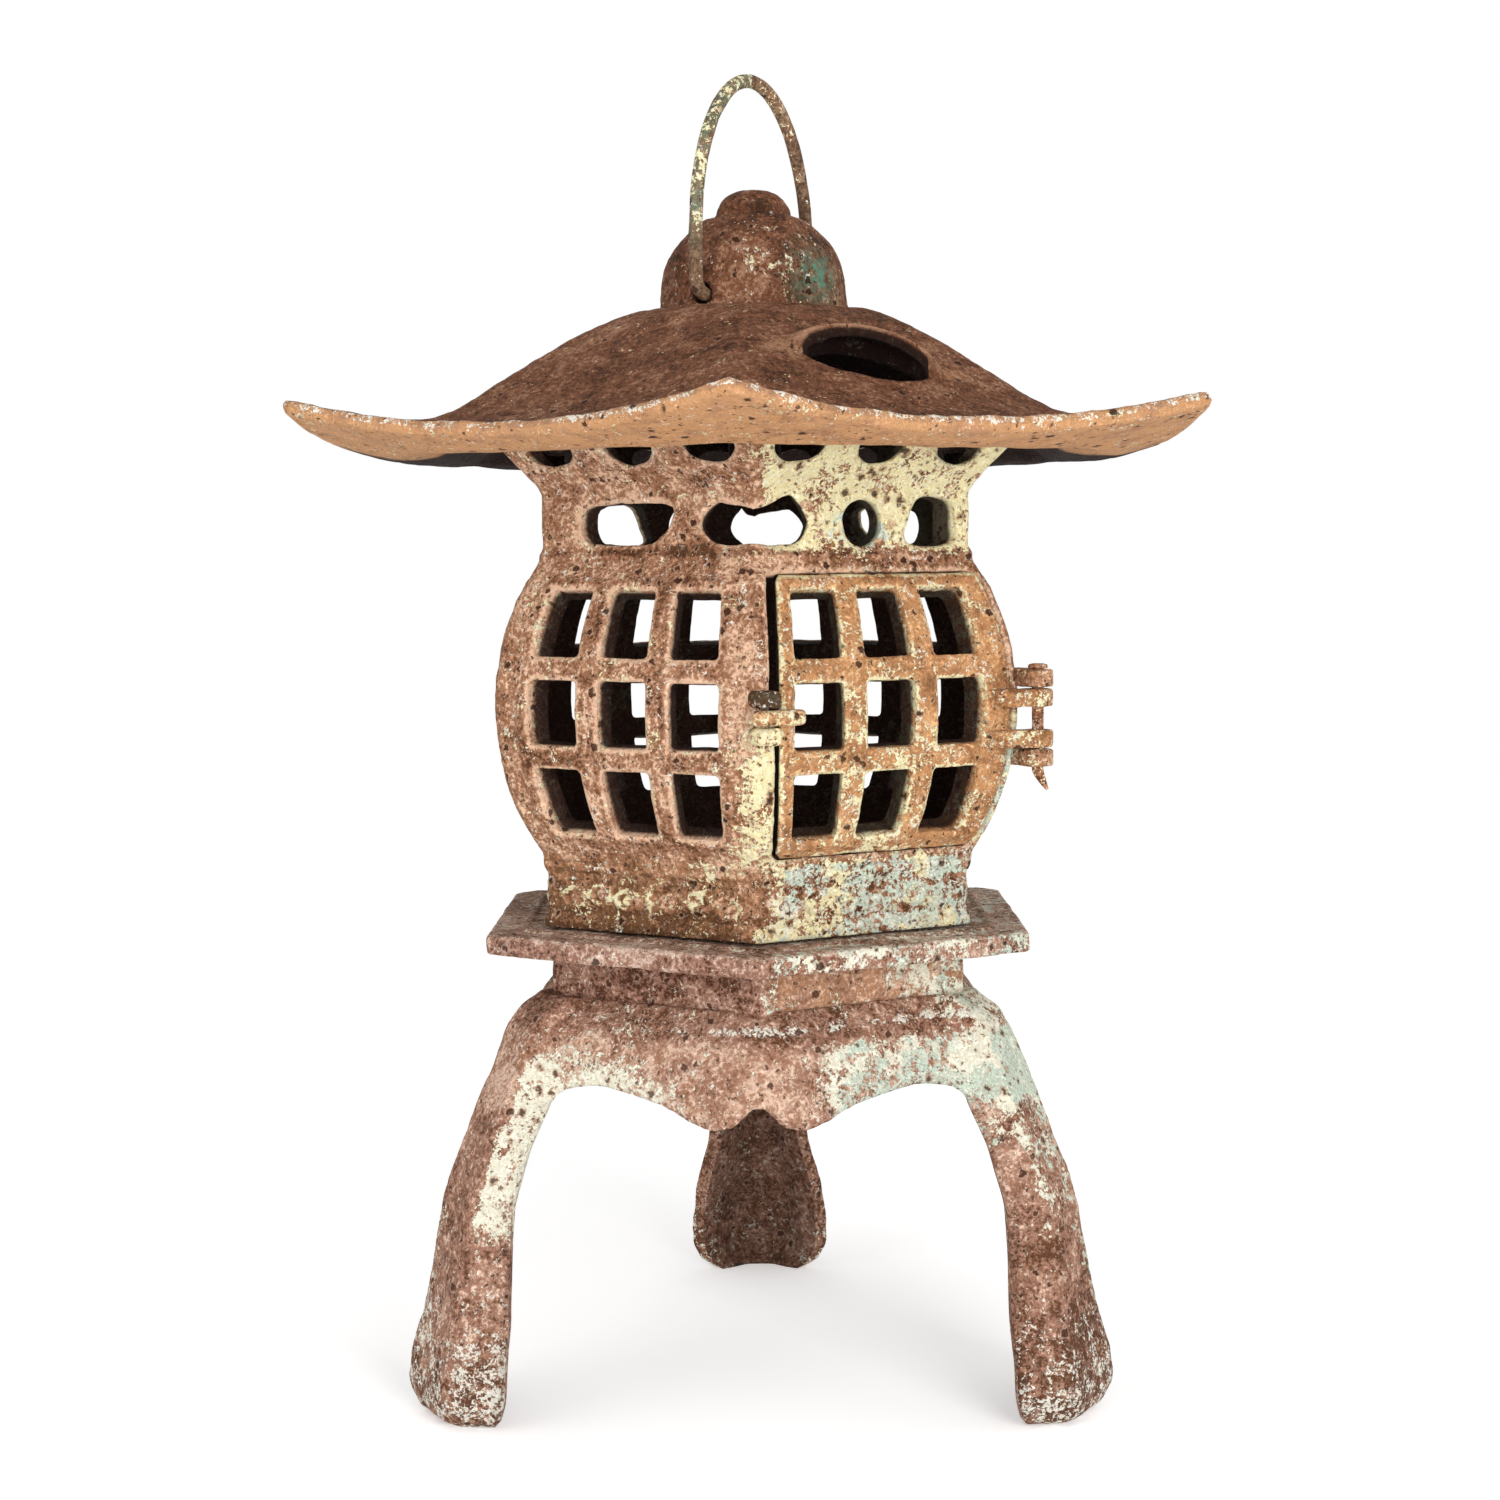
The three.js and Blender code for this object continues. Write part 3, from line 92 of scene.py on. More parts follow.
HINGE_REACH, HINGE_MIDDLE, KNUCKLE_THICKNESS = 6.2, 201.2, 5.0
DOOR_KNUCKLES = (HINGE_MIDDLE - 5.85, HINGE_MIDDLE + 5.85)
FIREBOX_KNUCKLES = (HINGE_MIDDLE - 11.35, HINGE_MIDDLE + 11.35)
PIN_RADIUS, PIN_HEAD_RADIUS = 1.7, 2.9
TONGUE_BOTTOM, TONGUE_TOP, TONGUE_LENGTH = 202.15, 206.35, 13.5
KEEPER_HEIGHT, KEEPER_GAP = 4.8, 0.5
INNER_LUG_HEIGHT = 6.0
ROOF_SEAT, DOME_FOOT = 286.3, 321.0
TIP_RADIUS, EAVE_BOW, EAVE_LIP, TIP_RISE = 147.0, 6.7, 3.8, 8.4
ROOF_TURN, CURL_START, EAVE_BELLY_RADIUS = -2.4, 100.0, 108.0
DOME_RADIUS, DOME_HEIGHT, DOME_WALL = 28.0, 27.5, 5.5
KNOB_RADIUS, KNOB_HEIGHT = 10.8, 8.0
VENT_RADIUS, VENT_HALF_LENGTH, VENT_HALF_WIDTH, VENT_SLANT = 67.0, 18.2, 6.8, 14.0
HOOD_CREST, HOOD_WALL = 10.7, 3.4
SEAT_RIM, BOSS_CIRCLE, BOSS_RADIUS, BOSS_HEIGHT = 6.0, 66.0, 6.0, 16.5
BAIL_AXIS, BAIL_BEARING, BAIL_WIRE = 323.8, -32.0, 2.0
BAIL_HALF_WIDTH, BAIL_SHOULDER, BAIL_RISE, BAIL_END = 31.4, 17.0, 64.8, 19.5
BAIL_HOLE = 3.5
SEAT_GAP = 0.3
LEG_BEARINGS = (60, 180, 300)
BASE_BOLT_BEARINGS = (90, 210, 330)
CORNER_30 = math.cos(math.pi / 6)
MM = 0.001

# About how many millimetres one turn is on a face of the firebox
FACE_SCALE = 80.0

# Named numbers that a piece keeps for each of its points, for the materials
FIELDS = ("coat", "hue", "tone", "warm", "speck", "verdi", "soot")


def linear(red, green, blue):
    """Screen colour from 0 to 255 as the linear values that shaders use."""
    def one(value):
        value /= 255
        return value / 12.92 if value <= 0.04045 else ((value + 0.055) / 1.055) ** 2.4
    return (one(red), one(green), one(blue), 1.0)


def length(name, description, default):
    return bpy.props.FloatProperty(name=name, description=description, default=default,
                                   min=0.0, unit="LENGTH", subtype="DISTANCE", precision=5)


def colour(name, description, default):
    return bpy.props.FloatVectorProperty(name=name, description=description, default=default,
                                         size=4, min=0.0, max=1.0, subtype="COLOR")


def angle(name, description, degrees):
    return bpy.props.FloatProperty(name=name, description=description, subtype="ANGLE",
                                   default=math.radians(degrees))


def power(name, description, default):
    return bpy.props.FloatProperty(name=name, description=description, default=default,
                                   min=0.0, unit="POWER")


class LanternShape(bpy.types.PropertyGroup):
    """Sizes of the surface detail that is not in the CAD solids."""
    swell: length("Casting swell", "Height of the broad unevenness of the cast faces", 0.00042)
    scale_height: length("Rust scale", "Height of the fine rust scale", 0.00026)
    pit_depth: length("Pit depth", "Depth of the corrosion pits", 0.0006)
    pit_radius: length("Pit radius", "Mean radius of the corrosion pits", 0.0017)
    ridge: length("Lattice ridge", "Height of the ridge along each lattice bar", 0.0008)
    edge_wear: length("Worn edges", "How deep the edges of openings are bevelled", 0.0006)
    scroll: length("Scroll relief", "Height of the scrollwork on the foot band", 0.0012)


class LanternColours(bpy.types.PropertyGroup):
    """Colours of rust, paint and dirt. Soot also serves as painted shade inside and under the
    lantern, and eave tan partly as painted light under the front eaves.
    """
    rust_dark: colour("Dark rust", "Deep rust in hollows and pits", linear(62, 30, 16))
    rust_mid: colour("Brown rust", "Main colour of the rusted castings", linear(160, 112, 84))
    rust_light: colour("Light rust", "Pale dusty rust", linear(236, 196, 166))
    rust_orange: colour("Orange rust", "Fresh rust round flaked paint", linear(178, 102, 48))
    cream: colour("Cream paint", "Old cream paint", linear(253, 241, 178))
    mint: colour("Mint paint", "Green and blue paint under the cream", linear(194, 216, 196))
    chalk: colour("Chalk", "White lime specks", linear(253, 250, 236))
    dusty: colour("Dusty brown", "Pinkish brown rust of the stand and plate", linear(168, 124, 104))
    pale: colour("Pale paint", "Bleached cream paint on the stand", linear(250, 247, 222))
    roof_dark: colour("Roof brown", "Dark weathered upper side of the roof", linear(116, 70, 50))
    # Tan rust; on the front of the roof's underside it also stands partly for painted light.
    eave_tan: colour("Eave tan", "Bright tan rust under the eaves", linear(240, 180, 124))
    verdigris: colour("Verdigris", "Blue-green stain on the dome", linear(96, 158, 134))
    # Near-black for soot, also used as painted shade on inner surfaces and jambs, inside the stand
    # and under the rear of the roof.
    soot: colour("Soot", "Sooty inside of the lantern", linear(34, 18, 14))


class LanternStudio(bpy.types.PropertyGroup):
    """Camera and light."""
    lens: bpy.props.FloatProperty(name="Lens", description="Focal length on a 36 mm sensor",
                                  default=59.82, min=1.0, unit="CAMERA")
    distance: length("Distance", "Camera distance in front of the centre line", 0.7567)
    height: length("Height", "Camera height above the ground", 0.249)
    pitch: angle("Pitch", "How far the camera looks down", 4.55)
    heading: angle("Heading", "Turn of the camera towards -X", 0.15)
    roll: angle("Roll", "Clockwise roll of the camera", 0.39)
    key_power: power("Key light", "Power of the front light", 10.0)
    fill_power: power("Fill light", "Power of the side light", 3.6)
    sky: bpy.props.FloatProperty(name="Sky", description="Strength of the even light all round",
                                 default=0.72, min=0.0)


# Repeatable noise

def scatter(cells, seed):
    """Repeatable random number from 0 to 1 for each whole-numbered cell."""
    mixed = cells[..., 0] * 73856093 ^ cells[..., 1] * 19349663 ^ cells[..., 2] * 83492791
    mixed = (mixed ^ (seed * 2654435761)) & 0xFFFFFFFF
    mixed = ((mixed ^ (mixed >> 15)) * 1274126177) & 0xFFFFFFFF
    mixed = ((mixed ^ (mixed >> 13)) * 1103515245) & 0xFFFFFFFF
    return ((mixed ^ (mixed >> 16)) & 0xFFFFFF) / float(0x1000000)


def cloud(points, size, seed):
    """Random heights at the corners of cubes of one size, blended between by 3t^2 - 2t^3."""
    scaled = points / size
    corner = np.floor(scaled).astype(np.int64)
    t = scaled - corner
    t = t * t * (3 - 2 * t)
    total = np.zeros(points.shape[:-1])
    for step in itertools.product((0, 1), repeat=3):
        weight = np.prod(np.where(step, t, 1 - t), axis=-1)
        total += weight * scatter(corner + np.array(step), seed)
    return total


def rough(points, size, octaves, seed):
    """Sum of clouds, each half the size and half the height of the last, from -1 to 1."""
    total = np.zeros(points.shape[:-1])
    for k in range(octaves):
        total += (2 * cloud(points, size / 2 ** k, seed + 11 * k) - 1) * 0.5 ** k
    return total / (2 - 0.5 ** (octaves - 1))


def pits(points, spacing, radius, share, seed):
    """Bowls at one random point in a share of all cubes: (1 - d^2 / r^2)^2 inside their radius."""
    cell = np.floor(points / spacing).astype(np.int64)
    deepest = np.zeros(points.shape[:-1])
    for step in itertools.product((-1, 0, 1), repeat=3):
        here = cell + np.array(step)
        centre = (here + np.stack([scatter(here, seed + k) for k in range(3)], -1)) * spacing
        reach = radius * (0.5 + scatter(here, seed + 3))
        bowl = np.clip(1 - ((points - centre) ** 2).sum(-1) / reach ** 2, 0, None) ** 2
        deepest = np.maximum(deepest, np.where(scatter(here, seed + 4) < share, bowl, 0))
    return deepest


def ease(value, low, high):
    """Smooth step from 0 at low to 1 at high."""
    t = np.clip((value - low) / (high - low), 0, 1)
    return t * t * (3 - 2 * t)


def between(value, start, full, fade, end):
    """Smooth step up from start to full, times a smooth step down from fade to end."""
    return ease(value, start, full) * (1 - ease(value, fade, end))


def bump_at(value, middle, width):
    """Bell of height 1 round the middle: exp(-((value - middle) / width)^2)."""
    return np.exp(-((value - middle) / width) ** 2)


# Plans and distances

def polar(radius, bearing, sideways=0.0):
    """Point at a distance and bearing from the centre line, moved sideways to larger bearings."""
    a = np.radians(bearing)
    return np.stack([radius * np.sin(a) + sideways * np.cos(a),
                     -radius * np.cos(a) + sideways * np.sin(a)], axis=-1)


def at_height(plan, z):
    """Level points set to their heights."""
    return np.concatenate([plan, z[..., None]], -1)


def bearing_of(points):
    """Bearing of each point, from -180 to 180."""
    return np.degrees(np.arctan2(points[..., 0], -points[..., 1]))


def hexagon(turn):
    """Point on a hexagon of radius 1. turn counts corners, with a straight blend between two."""
    corner = np.floor(turn)
    share = (turn - corner)[..., None]
    return polar(1.0, 60 * corner) * (1 - share) + polar(1.0, 60 * (corner + 1)) * share


def circle(turn):
    """Point on a circle of radius 1, where 6 turns make it full."""
    return polar(1.0, 60 * turn)


def rounded(plan, turn, reach):
    """Mean of a plan over a short reach of turn to both sides, which rounds its corners."""
    return sum(plan(turn + step) for step in np.linspace(-reach, reach, 7)) / 7


def softened(table, x, reach):
    """Mean of a broken line over a short reach to both sides, which rounds its bends."""
    knots = np.array(table, float)
    return sum(np.interp(x + step, knots[:, 0], knots[:, 1])
               for step in np.linspace(-reach, reach, 7)) / 7


def box_distance(x, y, half_x, half_y, corner):
    """Distance to a rectangle about the origin with rounded corners, negative inside."""
    qx, qy = np.abs(x) - half_x + corner, np.abs(y) - half_y + corner
    outside = np.hypot(np.maximum(qx, 0), np.maximum(qy, 0))
    return outside + np.minimum(np.maximum(qx, qy), 0) - corner


def segment_distance(x, y, start, end):
    """Distance to the nearest point of a straight stretch."""
    (ax, ay), (ex, ey) = start, (end[0] - start[0], end[1] - start[1])
    t = np.clip(((x - ax) * ex + (y - ay) * ey) / (ex * ex + ey * ey), 0, 1)
    return np.hypot(x - ax - t * ex, y - ay - t * ey)


def line_distance(x, y, line):
    """Distance to the nearest point of a line through points."""
    nearest = np.full(x.shape, np.inf)
    for start, end in zip(line[:-1], line[1:]):
        nearest = np.minimum(nearest, segment_distance(x, y, start, end))
    return nearest


def outline_distance(x, y, outline):
    """Distance to the nearest edge of a closed outline, negative where a level line from the
    point crosses the outline an odd number of times."""
    closed = np.vstack([outline, outline[:1]])
    inside = np.zeros(x.shape, bool)
    for (ax, ay), (bx, by) in zip(closed[:-1], closed[1:]):
        if by != ay:
            inside ^= ((ay > y) != (by > y)) & (x < (bx - ax) * (y - ay) / (by - ay) + ax)
    return line_distance(x, y, closed) * np.where(inside, -1, 1)


def cubic(before, start, end, after, count):
    """Stretches from each start to its end, each by the cubic set by four points in a row."""
    t = np.linspace(0, 1, count, endpoint=False)[None, :, None]
    before, start, end, after = (p[:, None] for p in (before, start, end, after))
    curve = 0.5 * (2 * start + (end - before) * t
                   + (2 * before - 5 * start + 4 * end - after) * t ** 2
                   + (3 * start - before - 3 * end + after) * t ** 3)
    return curve.reshape(-1, start.shape[-1])


def rounded_outline(points):
    """Closed curve through points, four steps to each."""
    points = np.asarray(points, float)
    return cubic(*(np.roll(points, k, axis=0) for k in (1, 0, -1, -2)), 4)


def open_curve(points, per_point):
    """Open curve through points, with its end points repeated."""
    p = np.vstack([points[:1], points, points[-1:]]).astype(float)
    stretches = cubic(*(p[k:len(p) - 3 + k] for k in range(4)), per_point)
    return np.vstack([stretches, p[-1:]])


# Meshes

def new_piece(name, points, faces, fields=None, smooth=None):
    """Mesh object from points in millimetres and faces of four corners. Points that share a
    place are merged, so poles close. fields are named numbers kept for each point, and smooth
    tells for each face whether its shading is rounded off."""
    used, faces = np.unique(faces, return_inverse=True)
    faces = faces.reshape(-1, 4)
    points = points.reshape(-1, 3)[used]
    mesh = bpy.data.meshes.new(name)
    mesh.vertices.add(len(points))
    mesh.vertices.foreach_set("co", (points * MM).astype(np.float32).ravel())
    mesh.loops.add(faces.size)
    mesh.polygons.add(len(faces))
    mesh.polygons.foreach_set("loop_start", np.arange(0, faces.size, 4, dtype=np.int32))
    mesh.loops.foreach_set("vertex_index", faces.astype(np.int32).ravel())
    mesh.update(calc_edges=True)
    smooth = np.ones(len(faces), bool) if smooth is None else smooth
    mesh.polygons.foreach_set("use_smooth", smooth)
    for field, values in (fields or {}).items():
        layer = mesh.attributes.new(field, "FLOAT", "POINT")
        layer.data.foreach_set("value", values.reshape(-1)[used].astype(np.float32))
    work = bmesh.new()
    work.from_mesh(mesh)
    bmesh.ops.remove_doubles(work, verts=work.verts, dist=1e-6)
    bmesh.ops.dissolve_degenerate(work, edges=work.edges, dist=1e-7)
    work.to_mesh(mesh)
    work.free()
    mesh.validate()
    piece = bpy.data.objects.new(name, mesh)
    bpy.context.scene.collection.objects.link(piece)
    return piece


def all_fields(given, shape):
    """Every field as an array of one shape: what is given, and otherwise 0."""
    return {name: np.broadcast_to(given.get(name, 0.0), shape) for name in FIELDS}


def grid_normals(points, wrap):
    """Unit normals of a grid of points: the cross product of its two steps. The first index runs
    round and joins up where wrap is true."""
    if wrap:
        along = np.roll(points, -1, axis=0) - np.roll(points, 1, axis=0)
    else:
        along = np.gradient(points, axis=0)
    normal = np.cross(along, np.gradient(points, axis=1))
    size = np.linalg.norm(normal, axis=-1, keepdims=True)
    return normal / np.maximum(size, 1e-9)


def wall_faces(shape, solid, wrap):
    """Faces of a wall between an outer and an inner grid of one shape, and whether each is
    shaded smooth. Every solid cell gives an outer and an inner face, both smooth, and every edge
    without a solid neighbour gives a flat face across."""
    count = shape[0] * shape[1]
    index = np.arange(count).reshape(shape)
    right = np.roll(index, -1, axis=0)
    cells = shape[0] if wrap else shape[0] - 1
    a, b = index[:cells, :-1], right[:cells, :-1]
    c, d = right[:cells, 1:], index[:cells, 1:]
    padded = np.pad(solid, 1)
    if wrap:
        padded[0], padded[-1] = padded[-2], padded[1]
    gone = ~padded
    faces = [np.stack([a, b, c, d], -1)[solid], np.stack([d, c, b, a], -1)[solid] + count]
    for start, end, missing in ((b, c, gone[2:, 1:-1]), (c, d, gone[1:-1, 2:]),
                                (d, a, gone[:-2, 1:-1]), (a, b, gone[1:-1, :-2])):
        pick = solid & missing
        faces.append(np.stack([end, start, start + count, end + count], -1)[pick])
    return np.vstack(faces), np.arange(sum(map(len, faces))) < 2 * solid.sum()


def cell_steps(lines):
    """Smaller of the two gaps beside each grid line."""
    gap = np.abs(np.diff(lines))
    return np.minimum(np.append(gap[0], gap), np.append(gap, gap[-1]))


def slope(clearance, turn, rise, scale):
    """Slope of the clearance across and up, in millimetres per millimetre."""
    here = clearance(turn, rise)
    return (here, (clearance(turn + 0.1 / scale, rise) - here) / 0.1,
            (clearance(turn, rise + 0.1) - here) / 0.1)


def settle_on_edge(turn, rise, clearance, solid, wrap, scale):
    """Moves the grid's points that lie between solid and open cells onto the line where the
    clearance is zero: three steps of -f grad f / |grad f|^2, each at most 0.6 of a cell."""
    touch = np.pad(solid, ((1, 1), (1, 1)))
    if wrap:
        touch[0], touch[-1] = touch[-2], touch[1]
    quarters = np.stack([touch[:-1, :-1], touch[1:, :-1], touch[:-1, 1:], touch[1:, 1:]])
    if wrap:
        quarters = quarters[:, :-1]
    edge = quarters.any(0) & ~quarters.all(0)
    edge[:, 0] = edge[:, -1] = False
    if not wrap:
        edge[0] = edge[-1] = False
    most_u = 0.6 * np.broadcast_to(cell_steps(turn[:, 0])[:, None], turn.shape)[edge]
    most_v = 0.6 * np.broadcast_to(cell_steps(rise[0])[None, :], rise.shape)[edge]
    u, v = turn[edge].copy(), rise[edge].copy()
    u0, v0 = u.copy(), v.copy()
    for _ in range(3):
        f, fu, fv = slope(clearance, u, v, scale)
        size = np.maximum(fu ** 2 + fv ** 2, 0.05)
        u = u0 + np.clip(u - f * fu / size / scale - u0, -most_u, most_u)
        v = v0 + np.clip(v - f * fv / size - v0, -most_v, most_v)
    turn, rise = turn.copy(), rise.copy()
    turn[edge], rise[edge] = u, v
    return turn, rise


EDGE_OFFSETS = (-1.8, -1.1, -0.5, 0.0, 0.5, 1.1, 1.8)


def fine_lines(start, end, edges, step):
    """Grid lines from start to end: some close beside each edge, and even ones between."""
    marks = [edge + offset for edge in edges for offset in EDGE_OFFSETS]
    marks = np.unique(np.round([start, end] + [m for m in marks if start < m < end], 6))
    parts = [np.linspace(a, b, max(1, round((b - a) / step)), endpoint=False)
             for a, b in zip(marks[:-1], marks[1:])]
    return np.concatenate(parts + [marks[-1:]])


def cast_wall(name, turns, rises, outer_at, inner_at, finish, wrap=True, scale=FACE_SCALE,
              clearance=None, relief=None, inner_relief=None, lowest=-1.0, sooted_and_shaded=1.0, cuts=()):
    """Closed castings between two surfaces, divided at the rises in cuts. turns and rises are the
    grid's lines, and the turns run backwards where the rises run downhill, which keeps the faces
    turned outward; outer_at and inner_at give a point for each turn and rise; finish gives the
    fields; scale is the millimetres in one unit of turn. clearance is the distance from the
    nearest opening, negative in it. relief is how far the outer surface moves along its normal,
    lowest the height that no point goes under, and sooty the darkening of the inner surface,
    which stands for soot and for painted shade inside."""
    turn, rise = np.meshgrid(turns, rises, indexing="ij")
    cells = (len(turns) if wrap else len(turns) - 1, len(rises) - 1)
    solid = np.ones(cells, bool)
    margin = np.full(turn.shape, 99.0)
    if clearance:
        f = clearance(turn, rise)
        ring = np.vstack([f, f[:1]]) if wrap else f
        solid = ring[:-1, :-1] + ring[1:, :-1] + ring[:-1, 1:] + ring[1:, 1:] > 0
        turn, rise = settle_on_edge(turn, rise, clearance, solid, wrap, scale)
        margin = clearance(turn, rise)
    outer, inner = outer_at(turn, rise), inner_at(turn, rise)
    lift = relief(turn, rise, outer, margin) if relief else np.zeros(turn.shape)
    outward = grid_normals(outer, wrap)
    fields = all_fields(finish(turn, rise, outer, margin, lift), turn.shape)
    inside = {field: fields[field] for field in ("coat", "hue", "warm")}
    # The inner surface gets a lower tone and the darkening in sooty: soot and painted shade in one.
    inside = all_fields(inside | {"tone": 0.4, "soot": sooted_and_shaded}, turn.shape)
    outer = outer + outward * lift[..., None]
    if inner_relief:
        inner = inner + grid_normals(inner, wrap) * inner_relief(inner)[..., None]
    outer[..., 2] = np.maximum(outer[..., 2], lowest)
    inner[..., 2] = np.maximum(inner[..., 2], lowest)
    both = {field: np.stack([fields[field], inside[field]]) for field in FIELDS}
    bounds = [0] + [int(np.argmin(np.abs(rises - cut))) for cut in cuts] + [len(rises) - 1]
    row = np.arange(len(rises) - 1)
    pieces = []
    for number, (low, high) in enumerate(zip(bounds[:-1], bounds[1:])):
        part = solid & (row >= low) & (row < high)
        piece_name = f"{name}_{number + 1}" if cuts else name
        faces, smooth = wall_faces(turn.shape, part, wrap)
        pieces.append(new_piece(piece_name, np.stack([outer, inner]), faces, both, smooth))
    return pieces


def closed_grid(name, points, finish, wrap_second=False):
    """Closed surface from a grid whose first index runs round, and whose second runs from pole to
    pole, or round as well where wrap_second is true."""
    shape = points.shape[:2]
    index = np.arange(shape[0] * shape[1]).reshape(shape)
    right, up = np.roll(index, -1, axis=0), np.roll(index, -1, axis=1)
    both = np.roll(right, -1, axis=1)
    rows = slice(None) if wrap_second else slice(0, -1)
    faces = np.stack([index[:, rows], right[:, rows], both[:, rows], up[:, rows]], -1)
    return new_piece(name, points, faces.reshape(-1, 4), all_fields(finish(points), shape))


def swept(profile, plan):
    """Surface of a profile, rows of radius and height, carried round a plan of radius 1. It takes
    turns and the share of the way from the first row to the last, all rows evenly apart."""
    profile = np.asarray(profile, float)
    steps = np.linspace(0, 1, len(profile))

    def at(turn, share):
        radius = np.interp(share, steps, profile[:, 0])[..., None]
        return at_height(plan(turn) * radius, np.interp(share, steps, profile[:, 1]))
    return at


def weathered(points, normals, shape, seed, amount):
    """Points moved along their normals by broad swell and fine scale."""
    shift = shape.swell / MM * rough(points, 12, 3, seed) + shape.scale_height / MM * rough(
        points, 2.6, 2, seed + 50)
    return points + normals * (amount * shift)[..., None]


def lug(name, outline, bottom, top, seed, finish, edge=0.9):
    """Block with a level outline and rounded edges: rings of the outline, drawn in by
    edge (1 - cos a) and set down by edge (1 - sin a) at both ends, closed at its middle."""
    outline = rounded_outline(outline)
    x, y = outline.T
    if (x * np.roll(y, -1) - np.roll(x, -1) * y).sum() < 0:
        outline = outline[::-1]
    along = np.roll(outline, -1, axis=0) - np.roll(outline, 1, axis=0)
    outward = np.stack([along[:, 1], -along[:, 0]], -1)
    outward /= np.linalg.norm(outward, axis=1, keepdims=True)
    middle = outline.mean(axis=0)
    arc = np.radians(np.linspace(0, 90, 4))
    inset = np.concatenate([edge * (1 - np.sin(arc)), edge * (1 - np.sin(arc[::-1]))])
    rise = edge * (1 - np.cos(arc))
    level = np.concatenate([bottom + rise, top - rise[::-1]])
    rings = outline[:, None, :] - outward[:, None, :] * inset[None, :, None]
    first, last = rings[:, :1] - middle, rings[:, -1:] - middle
    rings = np.concatenate([middle + first * 0.0, middle + first * 0.6, rings,
                            middle + last * 0.6, middle + last * 0.0], axis=1)
    level = np.concatenate([[bottom, bottom], level, [top, top]])
    points = at_height(rings, np.broadcast_to(level, rings.shape[:2]))
    points = points + 0.22 * np.stack([rough(points, 3.2, 2, seed + k) for k in range(3)], -1)
    points[:, 0], points[:, -1] = points[:1, 0], points[:1, -1]
    return closed_grid(name, points, finish)


def tube(name, path, radii, sides, seed, wobble, finish):
    """Round bar: a circle of the given radius carried along a path at right angles to it, closed
    to a point at both ends."""
    path, radii = np.asarray(path, float), np.asarray(radii, float)
    forward = np.gradient(path, axis=0)
    forward /= np.linalg.norm(forward, axis=1, keepdims=True)
    sideways = np.cross(forward, np.array([0.3, -0.9, 0.31]))
    sideways /= np.linalg.norm(sideways, axis=1, keepdims=True)
    upward = np.cross(forward, sideways)
    a = np.linspace(0, 2 * np.pi, sides, endpoint=False)[:, None, None]
    outward = np.cos(a) * sideways + np.sin(a) * upward
    points = path + outward * radii[None, :, None]
    points = points + outward * (wobble * rough(points, 5.0, 3, seed))[..., None] * (
        radii[None, :, None] > 0.05)
    return closed_grid(name, points, finish)


def join(name, pieces):
    """One object from several pieces, with the fields of each."""
    meshes = [piece.data for piece in pieces]
    work = bmesh.new()
    for mesh in meshes:
        work.from_mesh(mesh)
    mesh = bpy.data.meshes.new(name)
    work.to_mesh(mesh)
    work.free()
    for piece in pieces:
        bpy.data.objects.remove(piece)
    joined = bpy.data.objects.new(name, mesh)
    bpy.context.scene.collection.objects.link(joined)
    return joined


# Shader building

def put(tree, kind, inputs=None, **settings):
    """New shader node with its settings, and its inputs linked or given a value."""
    node = tree.nodes.new("ShaderNode" + kind)
    for key, value in settings.items():
        setattr(node, key, value)
    for key, value in (inputs or {}).items():
        if isinstance(value, bpy.types.NodeSocket):
            tree.links.new(value, node.inputs[key])
        else:
            node.inputs[key].default_value = value
    return node


def calc(tree, operation, first, second):
    return put(tree, "Math", {0: first, 1: second}, operation=operation).outputs[0]


def times(tree, first, second):
    return calc(tree, "MULTIPLY", first, second)


def blend(tree, factor, under, over):
    """Mix of two colours: the first where the factor is 0, the second where it is 1."""
    return put(tree, "Mix", {0: factor, 6: under, 7: over}, data_type="RGBA").outputs[2]


def spread(tree, value, low, high, to_low=0.0, to_high=1.0):
    """Smooth step between two results while the value runs from low to high."""
    node = put(tree, "MapRange", {"Value": value, "From Min": low, "From Max": high,
                                            "To Min": to_low, "To Max": to_high},
               interpolation_type="SMOOTHSTEP")
    return node.outputs[0]


def noise(tree, vector, scale, detail=4.0, roughness=0.6, distortion=0.0):
    return put(tree, "TexNoise", {"Vector": vector, "Scale": scale, "Detail": detail,
                                            "Roughness": roughness, "Distortion": distortion})


def bare_tree(owner):
    """Empty shader tree of a material or a world."""
    owner.use_nodes = True
    owner.node_tree.nodes.clear()
    return owner.node_tree


def give(tree, result, **values):
    """Links values to the group's output sockets of the same names."""
    for key, value in values.items():
        tree.links.new(value, result.inputs[key])
    return tree


def new_group(name, sockets_in, sockets_out):
    """Empty shader group with typed sockets and its two end nodes."""
    tree = bpy.data.node_groups.new(name, "ShaderNodeTree")
    for socket, kind, default in sockets_in:
        made = tree.interface.new_socket(name=socket, in_out="INPUT", socket_type=kind)
        if default is not None:
            made.default_value = default
    for socket, kind in sockets_out:
        tree.interface.new_socket(name=socket, in_out="OUTPUT", socket_type=kind)
    return tree, tree.nodes.new("NodeGroupInput"), tree.nodes.new("NodeGroupOutput")


FLOAT, COLOUR, VECTOR = "NodeSocketFloat", "NodeSocketColor", "NodeSocketVector"


def stretched(tree, vector, scale, detail, roughness=0.6, distortion=0.0):
    """Noise with its middle range stretched to run from 0 to 1."""
    return spread(tree, noise(tree, vector, scale, detail, roughness, distortion).outputs[0],
                  0.35, 0.65)


def weighed(tree, *parts):
    """Sum of values, each times its weight."""
    total = 0.0
    for value, weight in parts:
        total = calc(tree, "ADD", times(tree, value, weight), total)
    return total


